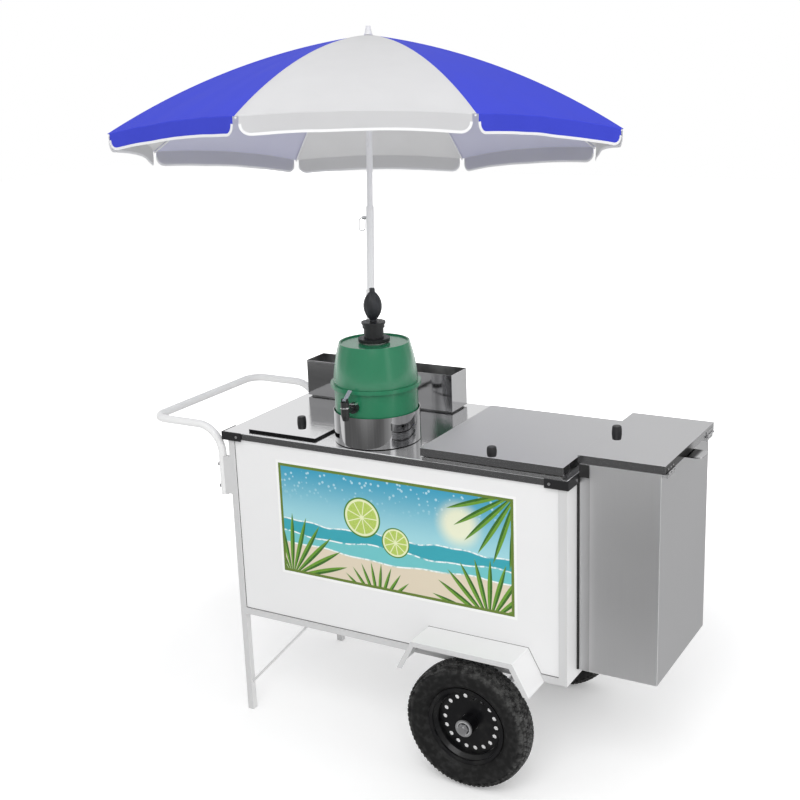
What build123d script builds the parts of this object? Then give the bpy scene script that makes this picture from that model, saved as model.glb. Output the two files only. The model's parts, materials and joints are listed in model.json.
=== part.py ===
from build123d import *
import math
import os

os.makedirs("parts", exist_ok=True)

# A pushed street cart for chilled coconut water: a sheet-clad tube frame on two wheels
# and two legs, with an ice box, a keg in a ring, a bin on its end and a folding umbrella.
# While modelling, x runs from the left posts to the bin, y from the front posts to the
# back and z up from the ground. The last lines move the origin under the middle.

# Frame and cladding
BODY_LENGTH = 1100.0
BODY_DEPTH = 552.0
WORKTOP_HEIGHT = 932.0
RIDE_HEIGHT = 336.0  # ground to the underside of the bottom rails
LEG_SIDE = 20.0  # tubes of the left posts, which run down as legs
POST_SIDE = 25.0  # tubes of the right posts
RAIL_SIDE = 20.0
TUBE_WALL = 1.5
FOOT_PLATE = 3.0
SHEET = 1.2
PANEL_RECESS = 5.0  # front and back panels behind the faces of the frame
BRACE_DIAMETER = 8.0
BRACE_FOOT = 97.0  # height at which a brace meets its leg
BRACE_REACH = 224.0  # along the rail, from the leg

# Clearances
SEAT_GAP = 0.3  # between pieces that rest close together
RUN_CLEARANCE = 0.05  # radial, between a pin or bearing and its bore
SLIDE_CLEARANCE = 0.08  # radial, between tubes that slide or turn in each other

# Worktop and its corner guards
SKIRT_HEIGHT = 21.0
LEFT_OVERHANG = 14.0
GUARD_ARM = 65.0
GUARD_HEIGHT = 26.0
GUARD_THICKNESS = 5.0
GUARD_SCREW_INSET = 15.0  # from the end of an arm
SCREW_HEAD_DIAMETER = 8.0
SCREW_HEAD_HEIGHT = 2.0

# Hinges of the lids
HINGE_PIN_DIAMETER = 3.0
HINGE_KNUCKLE_DIAMETER = 6.0
HINGE_LEAF = 1.0
HINGE_LEAF_WIDTH = 14.0
HINGE_KNUCKLE_GAP = 0.3
HINGE_KNUCKLES = 5
HINGE_LENGTH = 60.0

# Hatch at the left and the straw tray behind it
HATCH_LEFT = 62.0
HATCH_LENGTH = 238.0
HATCH_FRONT_MARGIN = 25.0
HATCH_EDGE = 7.0
HATCH_LIP = 5.0
HATCH_LIP_INSET = 14.0
TRAY_LEFT = 10.0
TRAY_LENGTH = 532.0
TRAY_DEPTH = 100.0
TRAY_HEIGHT = 122.0
TRAY_BACK_MARGIN = 24.0
TRAY_PLINTH = 5.0
TRAY_PLINTH_INSET = 8.0

# Ice box
ICE_LID_LENGTH = 424.0
ICE_LID_EDGE = 23.0
ICE_LID_GAP = 4.0
ICE_LID_END_MARGIN = 8.0
ICE_LID_BACK_MARGIN = 107.0
ICE_LID_OVERHANG = 7.0
COAMING_HEIGHT = 10.0
COAMING_INSET = 3.0
NECK_HEIGHT = 16.0  # above the coaming
TUB_LEFT_MARGIN = 32.0
TUB_BACK_MARGIN = 35.0
TUB_OPENING_MARGIN = 7.0
FOAM = 23.0
FLOOR_FOAM = 71.0

# Bin on the right end
BIN_STANDOFF = 6.0
BIN_WIDTH = 224.0
BIN_FRONT = 68.0
BIN_DEPTH = 412.0
BIN_RISE = 22.0  # underside of the bin above the underside of the body
BIN_LID_RISE = 30.0  # lower edge of the lid above the worktop
BIN_LID_EDGE = 23.0
BIN_LID_GAP = 3.0
BIN_LID_OVERHANG = 12.0  # at the hinge
BIN_HINGE_INSET = 42.0  # from each end of the lid to the middle of a hinge
BIN_BAR_HEIGHT = 30.0
BIN_BAR_DROP = 3.0  # upper bar below the skirt
BIN_BAR_INSET = 12.0
BIN_TAB_LENGTH = 54.0
BIN_TAB_WIDTH = 70.0
BIN_TAB_THICKNESS = 3.0
BIN_TAB_CORNER = 21.0

# Knobs of the lids
KNOB_DIAMETER = 27.5
KNOB_END_DIAMETER = 24.0
KNOB_EDGE = 3.0
KNOB_HEIGHT = 38.0
ICE_KNOB_HEIGHT = 27.0
HATCH_KNOB_INSET = 70.0  # from the front edge of the lid
HATCH_KNOB_SHIFT = 27.0  # towards the keg from the middle of the lid
ICE_KNOB_INSET = 15.0
BIN_KNOB_INSET = 46.0
BIN_KNOB_SHIFT = 43.0  # towards the front from the middle of the lid

# Push handle
HANDLE_DIAMETER = 25.0
HANDLE_RISE = 8.0  # centre line above the worktop
HANDLE_REACH = 295.0  # centre of the cross bar from the posts
HANDLE_STANDOFF = 32.5  # centre of the uprights from the posts
HANDLE_CORNER = 50.0
HANDLE_BEND = 85.0
HANDLE_DROP = 207.0  # lower ends below the worktop
HANDLE_BOLT_DROPS = (112.0, 182.0)
HANDLE_LUG_MARGIN = 6.0  # from the ends of the straight uprights to the lugs
BOLT_DIAMETER = 6.0
BOLT_HEAD_DIAMETER = 13.0
BOLT_HEAD_HEIGHT = 4.0

# Wheels
WHEEL_RADIUS = 188.0
WHEEL_FROM_END = 273.0
WHEEL_OFFSET = 54.0  # middle of the tyre outside the panel
TYRE_WIDTH = 88.0
TYRE_WALL = 9.0
BEAD_RADIUS = 109.0
BEAD_WIDTH = 50.0
RIM_FLANGE_RADIUS = 117.0
RIM_WALL = 3.0
RIM_WELL_RADIUS = 99.0
RIM_WELL_WIDTH = 16.0
DISC_INSET = 3.0  # from the middle of the tyre towards the cart
DISC_HOLES = 18
DISC_HOLE_DIAMETER = 13.0
DISC_HOLE_CIRCLE = 80.0
HUB_LENGTH = 80.0
HUB_DIAMETER = 51.0
BEARING_DIAMETER = 42.0
BEARING_WIDTH = 12.0
AXLE_DIAMETER = 20.0
AXLE_SLEEVE_DIAMETER = 28.0
AXLE_NUT_FLATS = 28.0
AXLE_NUT_HEIGHT = 9.0
AXLE_STUB = 2.0
HANGER_WIDTH = 56.0
HANGER_EYE_DIAMETER = 48.0
HANGER_THICKNESS = 6.0

# Fenders
FENDER_SHEET = 1.5
FENDER_DEPTH = 104.0
FENDER_CLEARANCE = 51.0  # above the tyre
FENDER_TOP = 312.0
FENDER_BOTTOM = 410.0
FENDER_LIP = 15.0

# Keg, measured up from the worktop
KEG_X = 452.0
KEG_Y = 130.0
RING_RADIUS = 126.0
RING_HEIGHT = 93.0
KEG_RADIUS = 121.0
KEG_WALL = 4.0
KEG_BASE_CHAMFER = 8.0
KEG_BAND_RADIUS = 131.0
KEG_BAND_LOW = 163.0
KEG_BAND_HEIGHT = 11.0
KEG_SHOULDER_RADIUS = 122.5
KEG_SHOULDER_BULGE = 3.6
KEG_RIM_RADIUS = 102.0
KEG_RIM_WIDTH = 5.0
KEG_HEIGHT = 290.0
KEG_DECK_DROP = 4.0
KEG_DECK = 6.0
LINER_RADIUS = 104.0
LINER_WALL = 2.5
LINER_SHOULDER = 232.0
NECK_RADIUS = 36.0
NECK_SLOPE = 34.0  # height of the liner's cone

# Tap and stopper of the keg
TAP_HEIGHT = 124.0
TAP_REACH = 50.0  # spout's axis from the keg's wall
TAP_STEM_DIAMETER = 16.0
TAP_STEM_INSIDE = 7.5  # from the outside of the liner to the end of the stem
TAP_NUT_DIAMETER = 31.0
TAP_NUT_LENGTH = 13.0
SPOUT_BORE = 9.0
SPOUT_WEB = 2.3  # from the middle of the spout to the end of the stem's bore
SPOUT_TOP_DIAMETER = 24.0
SPOUT_END_DIAMETER = 17.0
SPOUT_RISE = 29.0  # above the stem's axis
SPOUT_DROP = 25.0
SPOUT_BAND_DIAMETER = 27.0
SPOUT_BAND_HEIGHT = 3.0
EAR_HEIGHT = 9.0
EAR_THICKNESS = 3.0
LEVER_WIDTH = 11.4
LEVER_LENGTH = 36.0
LEVER_THICKNESS = 3.0
LEVER_ANGLE = 35.0
LEVER_PIN_DIAMETER = 3.0
LEVER_BARREL_DIAMETER = 7.0
PLUG_LENGTH = 34.0
STOPPER_FLANGE_RADIUS = 45.5
STOPPER_FLANGE = 10.0
STOPPER_COLUMN_RADIUS = 28.5
STOPPER_COLUMN = 30.0
STOPPER_CAP_RADIUS = 35.0
STOPPER_CAP = 17.0
STOPPER_COLLAR_RADIUS = 32.0
STOPPER_LIP = 6.0
AIR_WAY_DIAMETER = 8.0
BULB_RADIUS = 26.5
BULB_HEIGHT = 80.0
BULB_NECK_RADIUS = 9.5
BULB_NECK = 6.0
BULB_TIP_RADIUS = 7.5
BULB_TIP = 10.0

# Umbrella: stations run up the pole's axis from the worktop
POLE_TO_HATCH = 62.0
POLE_TO_TRAY = 68.0
POLE_X = 293.0
LEAN_BACK = 9.13  # degrees
LEAN_LEFT = 3.37
GORE_TURN = 28.6  # turn of the canopy about its pole
SOCKET_DIAMETER = 30.0
SOCKET_TOP = 380.0
SOCKET_PLATE = 90.0
SOCKET_PLATE_THICKNESS = 4.0
SOCKET_HOLE_CLEARANCE = 0.5
LOWER_POLE_DIAMETER = 25.0
LOWER_POLE_TOP = 635.0
POLE_FOOT_GAP = 4.0
UPPER_POLE_DIAMETER = 19.0
UPPER_POLE_INSERT = 200.0
UPPER_POLE_WALL = 1.5
LOCK_DROP = 35.0  # ring pin below the top of the lower pole
LOCK_PIN_DIAMETER = 5.0
LOCK_HEAD_DIAMETER = 10.0
LOCK_HEAD_LENGTH = 12.0
LOCK_RING_WIRE = 3.0
LOCK_RING_WIDTH = 18.0
LOCK_RING_LENGTH = 40.0
CROWN_RISE = 505.0  # rib pivots above the top of the lower pole
CROWN_RADIUS = 24.0
CROWN_CORE_RADIUS = 13.0
CROWN_LOW = 12.0
CROWN_HIGH = 2.0
FINIAL_RADIUS = 14.0
FINIAL_TIP_RADIUS = 7.5
FINIAL_HEIGHT = 27.0
RIBS = 8
RIB_DIAMETER = 4.5
RIB_PIVOT_RADIUS = 18.0
RIB_PIN_DIAMETER = 3.0
RIB_EYE_DIAMETER = 8.0
RIB_SLOT_CLEARANCE = 0.3
RIB_REACH = 786.0
RIB_DROP = 311.0
RIB_BOW = 43.0
RIB_TIP_DIAMETER = 6.0
RIB_SLEEVE_DIAMETER = 6.5
RIB_SLEEVE_LENGTH = 16.0
FOLD_ANGLE = 58.0  # turn of each rib from open to folded
STRETCHER_SEAT = 240.0  # radius at which a stretcher meets its rib
STRETCHER_THICKNESS = 3.5
STRETCHER_HEIGHT = 5.0
STRETCHER_CLEARANCE = 0.4  # beside the rib's sleeve
RUNNER_DROP = 132.0  # stretcher pivots below the rib pivots, open
RUNNER_PIVOT_RADIUS = 17.0
RUNNER_RADIUS = 23.0
RUNNER_CORE_RADIUS = 12.5
RUNNER_TAIL = 32.0
RUNNER_HEAD = 8.0
CLOTH = 1.0
CLOTH_GAP = 1.1  # above the ribs
APEX_RISE = 8.0  # cloth above the rib pivots, at the pole
VALANCE = 50.0

MIN_Z = (Align.CENTER, Align.CENTER, Align.MIN)
nodes = {}


def block(x, y, z):
    """A box between three pairs of (low, high)."""
    pairs = (x, y, z)
    centre = [(low + high) / 2 for low, high in pairs]
    size = [high - low for low, high in pairs]
    return Pos(*centre) * Box(*size)


def grow(pair, margin):
    """A (low, high) pair, wider by a margin at both ends."""
    low, high = pair
    return (low - margin, high + margin)


def rod(start, end, radius):
    """A round bar between two points."""
    run = Vector(end) - Vector(start)
    return Plane(Vector(start), z_dir=run) * Cylinder(radius, run.length, align=MIN_Z)


def tube(start, end, radius, bore):
    """A round tube between two points."""
    return rod(start, end, radius) - rod(start, end, bore)


def turned(*edges):
    """A solid turned about z from edges drawn as (radius, height)."""
    return revolve(Plane.XZ * make_face(list(edges)), Axis.Z)


def group(*shapes):
    """Separate solids that share one node."""
    return Compound(children=[solid for shape in shapes for solid in shape.solids()])


# Frame: hollow posts and rails, leg braces and the plates that carry the axle
deck = WORKTOP_HEIGHT - SHEET
inner_x = (LEG_SIDE, BODY_LENGTH - POST_SIDE)
left_inner_y = (LEG_SIDE, BODY_DEPTH - LEG_SIDE)
right_inner_y = (POST_SIDE, BODY_DEPTH - POST_SIDE)
left_x = (0, LEG_SIDE)
right_x = (BODY_LENGTH - POST_SIDE, BODY_LENGTH)
front_leg_y = (0, LEG_SIDE)
back_leg_y = (BODY_DEPTH - LEG_SIDE, BODY_DEPTH)
front_post_y = (0, POST_SIDE)
back_post_y = (BODY_DEPTH - POST_SIDE, BODY_DEPTH)
front_rail_y = (0, RAIL_SIDE)
back_rail_y = (BODY_DEPTH - RAIL_SIDE, BODY_DEPTH)
left_rail_x = (SHEET, SHEET + RAIL_SIDE)
right_rail_x = (BODY_LENGTH - SHEET - RAIL_SIDE, BODY_LENGTH - SHEET)
bottom_rail_z = (RIDE_HEIGHT, RIDE_HEIGHT + RAIL_SIDE)
top_rail_z = (deck - RAIL_SIDE, deck)
frame = []
posts = []
for post_x, post_y, foot, bore_foot in (
    (left_x, front_leg_y, 0, FOOT_PLATE),
    (left_x, back_leg_y, 0, FOOT_PLATE),
    (right_x, front_post_y, RIDE_HEIGHT, RIDE_HEIGHT),
    (right_x, back_post_y, RIDE_HEIGHT, RIDE_HEIGHT),
):
    bore = block(grow(post_x, -TUBE_WALL), grow(post_y, -TUBE_WALL), (bore_foot, deck))
    post = block(post_x, post_y, (foot, deck))
    posts.append(post)
    frame.append(post - bore)
for rail_z in (bottom_rail_z, top_rail_z):
    for rail_y in (front_rail_y, back_rail_y):
        bore = block(inner_x, grow(rail_y, -TUBE_WALL), grow(rail_z, -TUBE_WALL))
        frame.append(block(inner_x, rail_y, rail_z) - bore)
    for rail_x, rail_y in ((left_rail_x, left_inner_y), (right_rail_x, right_inner_y)):
        bore = block(grow(rail_x, -TUBE_WALL), rail_y, grow(rail_z, -TUBE_WALL))
        frame.append(block(rail_x, rail_y, rail_z) - bore)

# Each brace is cut square to its leg and to the rail that it meets
brace_run = Vector(BRACE_REACH, 0, RIDE_HEIGHT - BRACE_FOOT)
for rail_y in (front_rail_y, back_rail_y):
    middle_y = sum(rail_y) / 2
    foot = Vector(LEG_SIDE, middle_y, BRACE_FOOT)
    brace = rod(foot - brace_run * 0.1, foot + brace_run * 1.1, BRACE_DIAMETER / 2)
    frame.append(brace & block((LEG_SIDE, BODY_LENGTH), (0, BODY_DEPTH), (0, RIDE_HEIGHT)))

# Axle plates hang from the bottom rails
wheel_x = BODY_LENGTH - WHEEL_FROM_END
axle_z = WHEEL_RADIUS
hanger_faces = []
for rail_y in (front_rail_y, back_rail_y):
    middle_y = sum(rail_y) / 2
    plate = Polyline(
        (wheel_x - HANGER_WIDTH / 2, RIDE_HEIGHT),
        (wheel_x - HANGER_EYE_DIAMETER / 2, axle_z),
        (wheel_x + HANGER_EYE_DIAMETER / 2, axle_z),
        (wheel_x + HANGER_WIDTH / 2, RIDE_HEIGHT),
        close=True,
    )
    eye = Pos(wheel_x, axle_z) * Circle(HANGER_EYE_DIAMETER / 2)
    hole = Pos(wheel_x, axle_z) * Circle(AXLE_DIAMETER / 2)
    outline = Plane.XZ * (make_face(plate) + eye - hole)
    hanger = extrude(outline, HANGER_THICKNESS / 2, both=True)
    frame.append(Pos(0, middle_y, 0) * hanger)
    hanger_faces.append((middle_y - HANGER_THICKNESS / 2, middle_y + HANGER_THICKNESS / 2))

# Cladding: the front and back sheets are let into the frame, the end sheets cover the rails
# between the posts, and the floor lies on the bottom rails
clad_x = (SHEET, BODY_LENGTH - SHEET)
clad_y = (PANEL_RECESS + SHEET, BODY_DEPTH - PANEL_RECESS - SHEET)
panel_z = (bottom_rail_z[1], top_rail_z[0])
end_z = (RIDE_HEIGHT, deck)
floor_top = bottom_rail_z[1] + SHEET
floor_z = (bottom_rail_z[1], floor_top)
nodes["front_panel"] = block(inner_x, (PANEL_RECESS, clad_y[0]), panel_z)
nodes["back_panel"] = block(inner_x, (clad_y[1], BODY_DEPTH - PANEL_RECESS), panel_z)
nodes["end_panels"] = group(
    block((0, SHEET), left_inner_y, end_z),
    block((clad_x[1], BODY_LENGTH), right_inner_y, end_z),
)
floor_panel = block(clad_x, clad_y, floor_z)
for post in posts:
    floor_panel -= post
nodes["floor_panel"] = floor_panel

# Layout of the worktop: the tray lies at the back, the pole before it, the hatch in front
top_x = (-LEFT_OVERHANG, BODY_LENGTH + SEAT_GAP + SHEET)
top_y = (-SEAT_GAP - SHEET, BODY_DEPTH + SEAT_GAP + SHEET)
tray_x = (TRAY_LEFT, TRAY_LEFT + TRAY_LENGTH)
tray_y = (BODY_DEPTH - TRAY_BACK_MARGIN - TRAY_DEPTH, BODY_DEPTH - TRAY_BACK_MARGIN)
pole_y = tray_y[0] - POLE_TO_TRAY
hatch_x = (HATCH_LEFT, HATCH_LEFT + HATCH_LENGTH)
hatch_y = (HATCH_FRONT_MARGIN, pole_y - POLE_TO_HATCH)
hatch_z = (WORKTOP_HEIGHT + SEAT_GAP, WORKTOP_HEIGHT + SEAT_GAP + HATCH_EDGE)
hatch_hole_x = grow(hatch_x, -HATCH_LIP_INSET)
hatch_hole_y = grow(hatch_y, -HATCH_LIP_INSET)

# Layout of the ice box: the tub's foam stands clear of the posts at the front right
foam_edge = SEAT_GAP + FOAM + SEAT_GAP + SHEET
ice_x = (BODY_LENGTH - ICE_LID_END_MARGIN - ICE_LID_LENGTH, BODY_LENGTH - ICE_LID_END_MARGIN)
ice_y = (-ICE_LID_OVERHANG, BODY_DEPTH - ICE_LID_BACK_MARGIN)
tub_x = (ice_x[0] + TUB_LEFT_MARGIN, BODY_LENGTH - POST_SIDE - foam_edge)
tub_y = (POST_SIDE + foam_edge, ice_y[1] - TUB_BACK_MARGIN)
tub_floor = floor_top + SEAT_GAP + FLOOR_FOAM + SEAT_GAP + SHEET
coaming_top = WORKTOP_HEIGHT + COAMING_HEIGHT
neck_top = coaming_top + NECK_HEIGHT
ice_hole_x = grow(tub_x, TUB_OPENING_MARGIN)
ice_hole_y = grow(tub_y, TUB_OPENING_MARGIN)

# Frame of the leaning umbrella pole, with its origin on the worktop
lean = Vector(-math.tan(math.radians(LEAN_LEFT)), math.tan(math.radians(LEAN_BACK)), 1).normalized()
turn = math.radians(GORE_TURN)
facing = Vector(math.cos(turn), math.sin(turn), 0)
pole = Plane(
    Vector(POLE_X, pole_y, WORKTOP_HEIGHT),
    x_dir=(facing - lean * facing.dot(lean)).normalized(),
    z_dir=lean,
)
socket_radius = SOCKET_DIAMETER / 2
lower_pole_radius = LOWER_POLE_DIAMETER / 2
upper_pole_radius = UPPER_POLE_DIAMETER / 2
plate_top = floor_top + SOCKET_PLATE_THICKNESS
plate_station = (plate_top - WORKTOP_HEIGHT) / lean.Z

# Worktop: a sheet with a folded skirt, an upstand round the hatch and a hole for the pole
skirt_z = (WORKTOP_HEIGHT - SKIRT_HEIGHT, WORKTOP_HEIGHT)
worktop = block(top_x, top_y, skirt_z)
worktop -= block(grow(top_x, -SHEET), grow(top_y, -SHEET), (skirt_z[0], deck))
worktop += block(hatch_hole_x, hatch_hole_y, (deck, WORKTOP_HEIGHT + HATCH_LIP))
worktop -= block(
    grow(hatch_hole_x, -SHEET),
    grow(hatch_hole_y, -SHEET),
    (deck, WORKTOP_HEIGHT + HATCH_LIP),
)
worktop -= block(ice_hole_x, ice_hole_y, (deck, WORKTOP_HEIGHT))
socket_hole = socket_radius + SOCKET_HOLE_CLEARANCE
worktop -= pole * Cylinder(socket_hole, SOCKET_DIAMETER)
nodes["worktop"] = worktop

# Corner guards wrap the skirt, with a screw through each arm
guards = []
screws = []
guard_z = (WORKTOP_HEIGHT - GUARD_HEIGHT, WORKTOP_HEIGHT)
screw_z = sum(guard_z) / 2
for corner_x, into_x in ((top_x[0], 1), (top_x[1], -1)):
    for corner_y, into_y in ((top_y[0], 1), (top_y[1], -1)):
        outer_x = corner_x - into_x * GUARD_THICKNESS
        outer_y = corner_y - into_y * GUARD_THICKNESS
        end_x = corner_x + into_x * GUARD_ARM
        end_y = corner_y + into_y * GUARD_ARM
        corner = block(sorted((outer_x, end_x)), sorted((outer_y, end_y)), guard_z)
        corner -= block(sorted((corner_x, end_x)), sorted((corner_y, end_y)), guard_z)
        guards.append(corner)
        screw_x = corner_x + into_x * (GUARD_ARM - GUARD_SCREW_INSET)
        screw_y = corner_y + into_y * (GUARD_ARM - GUARD_SCREW_INSET)
        head = SCREW_HEAD_DIAMETER / 2
        tip_x = outer_x - into_x * SCREW_HEAD_HEIGHT
        tip_y = outer_y - into_y * SCREW_HEAD_HEIGHT
        screws.append(rod((screw_x, outer_y, screw_z), (screw_x, tip_y, screw_z), head))
        screws.append(rod((outer_x, screw_y, screw_z), (tip_x, screw_y, screw_z), head))
nodes["corner_guards"] = group(*guards)

# Ice tub: a basin hung by its coaming, with a neck that stands up inside the lid
coaming_x = grow(ice_x, -COAMING_INSET)
coaming_y = (ice_y[0] + COAMING_INSET, ice_y[1])
coaming_z = (WORKTOP_HEIGHT, coaming_top)
ice_tub = block(coaming_x, coaming_y, coaming_z)
ice_tub -= block(grow(coaming_x, -SHEET), grow(coaming_y, -SHEET), (WORKTOP_HEIGHT, coaming_top - SHEET))
ice_tub += block(grow(tub_x, SHEET), grow(tub_y, SHEET), (tub_floor - SHEET, neck_top))
ice_tub -= block(tub_x, tub_y, (tub_floor, neck_top))
nodes["ice_tub"] = ice_tub

# Foam slabs that the tub sits in, standing on the floor
foam_x = grow(tub_x, SHEET + SEAT_GAP)
foam_y = grow(tub_y, SHEET + SEAT_GAP)
foam_floor = tub_floor - SHEET - SEAT_GAP
foam_z = (foam_floor, deck - SEAT_GAP)
foam_ends = grow(foam_x, FOAM)
foam_sides = grow(foam_y, FOAM)
nodes["tub_insulation"] = group(
    block(foam_ends, foam_sides, (floor_top, foam_floor)),
    block((foam_ends[0], foam_x[0]), foam_sides, foam_z),
    block((foam_x[1], foam_ends[1]), foam_sides, foam_z),
    block(foam_x, (foam_sides[0], foam_y[0]), foam_z),
    block(foam_x, (foam_y[1], foam_sides[1]), foam_z),
)

# Straw tray: an open box on a low plinth
tray_z = (WORKTOP_HEIGHT + TRAY_PLINTH, WORKTOP_HEIGHT + TRAY_HEIGHT)
straw_tray = block(tray_x, tray_y, tray_z)
straw_tray -= block(grow(tray_x, -SHEET), grow(tray_y, -SHEET), (tray_z[0] + SHEET, tray_z[1]))
plinth_x = grow(tray_x, -TRAY_PLINTH_INSET)
plinth_y = grow(tray_y, -TRAY_PLINTH_INSET)
plinth_z = (WORKTOP_HEIGHT, tray_z[0])
straw_tray += block(plinth_x, plinth_y, plinth_z) - block(
    grow(plinth_x, -SHEET), grow(plinth_y, -SHEET), plinth_z
)
nodes["straw_tray"] = straw_tray


def folded_lid(x, y, z):
    """A sheet lid with its edges folded down."""
    return block(x, y, z) - block(grow(x, -SHEET), grow(y, -SHEET), (z[0], z[1] - SHEET))


def hinge(length, rise, flat_leaf):
    """A butt hinge whose pin lies along local x, with y outward from the lid.

    Gives the moving leaf, which climbs the lid's edge, the fixed leaf, which lies flat
    behind the pin or hangs below it, and the pin.
    """
    barrel = HINGE_KNUCKLE_DIAMETER / 2
    pin_radius = HINGE_PIN_DIAMETER / 2
    gap = HINGE_KNUCKLE_GAP
    step = length / HINGE_KNUCKLES
    leaf_y = (-barrel, HINGE_LEAF - barrel)
    flat_z = (-barrel - SEAT_GAP, HINGE_LEAF - barrel - SEAT_GAP)
    moving = block((0, length), leaf_y, (barrel + gap, rise))
    if flat_leaf:
        fixed = block((0, length), (barrel + gap, barrel + gap + HINGE_LEAF_WIDTH), flat_z)
    else:
        fixed = block((0, length), leaf_y, (-HINGE_LEAF_WIDTH, -barrel - gap))
    for place in range(HINGE_KNUCKLES):
        ends = (place * step + gap / 2, (place + 1) * step - gap / 2)
        start = (ends[0], 0, 0)
        end = (ends[1], 0, 0)
        if place % 2:
            web = block(ends, leaf_y, (0, barrel + gap))
            moving += (web + rod(start, end, barrel)) - rod(start, end, pin_radius + RUN_CLEARANCE)
        elif flat_leaf:
            web = block(ends, (0, barrel + gap), flat_z)
            fixed += (web + rod(start, end, barrel)) - rod(start, end, pin_radius)
        else:
            web = block(ends, leaf_y, (-barrel - gap, 0))
            fixed += (web + rod(start, end, barrel)) - rod(start, end, pin_radius)
    return moving, fixed, rod((0, 0, 0), (length, 0, 0), pin_radius)


def knob(height):
    """A turned barrel knob that stands on z = 0, with a belly and a rounded top."""
    end = KNOB_END_DIAMETER / 2
    belly = ThreePointArc((end, 0), (KNOB_DIAMETER / 2, height / 2), (end, height))
    barrel = turned(belly, Polyline((end, height), (0, height), (0, 0), (end, 0)))
    return fillet(barrel.edges().group_by(Axis.Z)[-1], KNOB_EDGE)


# Lids with their hinges: the fixed leaves and pins stay on the cart
fixed_leaves = []
barrel = HINGE_KNUCKLE_DIAMETER / 2
hatch_axis = (hatch_y[1] + barrel, WORKTOP_HEIGHT + barrel + SEAT_GAP)
hatch_lid = folded_lid(hatch_x, hatch_y, hatch_z)
for middle in (hatch_x[0] + HINGE_LENGTH, hatch_x[1] - HINGE_LENGTH):
    place = Pos(middle - HINGE_LENGTH / 2, *hatch_axis)
    moving, fixed, pin = hinge(HINGE_LENGTH, hatch_z[1] - hatch_axis[1], True)
    hatch_lid += place * moving
    fixed_leaves += [place * fixed, place * pin]
nodes["hatch_lid"] = hatch_lid

ice_z = (coaming_top + ICE_LID_GAP, coaming_top + ICE_LID_GAP + ICE_LID_EDGE)
ice_axis = (ice_y[1] + barrel, coaming_top + ICE_LID_GAP / 2)
ice_lid = folded_lid(ice_x, ice_y, ice_z)
for middle in (ice_x[0] + HINGE_LENGTH, ice_x[1] - HINGE_LENGTH):
    place = Pos(middle - HINGE_LENGTH / 2, *ice_axis)
    moving, fixed, pin = hinge(HINGE_LENGTH, HINGE_LEAF_WIDTH, False)
    fixed &= block((0, HINGE_LENGTH), (-barrel, barrel), (WORKTOP_HEIGHT - ice_axis[1], barrel))
    ice_lid += place * moving
    fixed_leaves += [place * fixed, place * pin]
nodes["ice_lid"] = ice_lid
nodes["ice_lid_foam"] = block(
    grow(ice_x, -SHEET - SEAT_GAP),
    grow(ice_y, -SHEET - SEAT_GAP),
    (neck_top + SEAT_GAP, ice_z[1] - SHEET),
)

# Bin: its walls stand up inside the lid, and blocks behind the hinges pack them out
bin_x = (BODY_LENGTH + BIN_STANDOFF, BODY_LENGTH + BIN_STANDOFF + BIN_WIDTH)
bin_y = (BIN_FRONT, BIN_FRONT + BIN_DEPTH)
bin_lid_x = (bin_x[0] - BIN_LID_GAP, bin_x[1] + BIN_LID_OVERHANG)
bin_lid_y = grow(bin_y, BIN_LID_GAP + SHEET)
bin_lid_low = WORKTOP_HEIGHT + BIN_LID_RISE
bin_lid_z = (bin_lid_low, bin_lid_low + BIN_LID_EDGE)
bin_z = (RIDE_HEIGHT + BIN_RISE, bin_lid_z[1] - SHEET - SEAT_GAP)
bin_axis = (bin_lid_x[1] + barrel, bin_lid_low - SEAT_GAP)
bin_body = block(bin_x, bin_y, bin_z) - block(
    grow(bin_x, -SHEET), grow(bin_y, -SHEET), (bin_z[0] + SHEET, bin_z[1])
)
bin_lid = folded_lid(bin_lid_x, bin_lid_y, bin_lid_z)
packer_top = bin_axis[1] - barrel - HINGE_KNUCKLE_GAP
packer_z = (bin_axis[1] - HINGE_LEAF_WIDTH, packer_top)
for middle in (bin_lid_y[0] + BIN_HINGE_INSET, bin_lid_y[1] - BIN_HINGE_INSET):
    hinge_y = (middle - HINGE_LENGTH / 2, middle + HINGE_LENGTH / 2)
    origin = Vector(bin_axis[0], hinge_y[1], bin_axis[1])
    place = Plane(origin, x_dir=(0, -1, 0), z_dir=(0, 0, 1))
    moving, fixed, pin = hinge(HINGE_LENGTH, HINGE_LEAF_WIDTH, False)
    bin_lid += place * moving
    fixed_leaves += [place * fixed, place * pin]
    bin_body += block((bin_x[1], bin_lid_x[1]), hinge_y, packer_z)
tab_y = (sum(bin_y) / 2 - BIN_TAB_WIDTH / 2, sum(bin_y) / 2 + BIN_TAB_WIDTH / 2)
tab_z = (packer_top - BIN_TAB_THICKNESS, packer_top)
bin_tab = block((bin_x[1], bin_x[1] + BIN_TAB_LENGTH), tab_y, tab_z)
tab_end = bin_tab.edges().filter_by(Axis.Z).group_by(Axis.X)[-1]
bin_body += fillet(tab_end, BIN_TAB_CORNER)
nodes["bin_body"] = bin_body
nodes["bin_lid"] = bin_lid
nodes["lid_hinges"] = group(*fixed_leaves)

# Flat bars that carry the bin on the cart's end
bar_x = (BODY_LENGTH, bin_x[0])
bar_y = grow(bin_y, -BIN_BAR_INSET)
upper_bar_top = skirt_z[0] - BIN_BAR_DROP
lower_bar_low = bin_z[0] + BIN_BAR_HEIGHT
nodes["bin_brackets"] = group(
    block(bar_x, bar_y, (upper_bar_top - BIN_BAR_HEIGHT, upper_bar_top)),
    block(bar_x, bar_y, (lower_bar_low, lower_bar_low + BIN_BAR_HEIGHT)),
)

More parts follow.
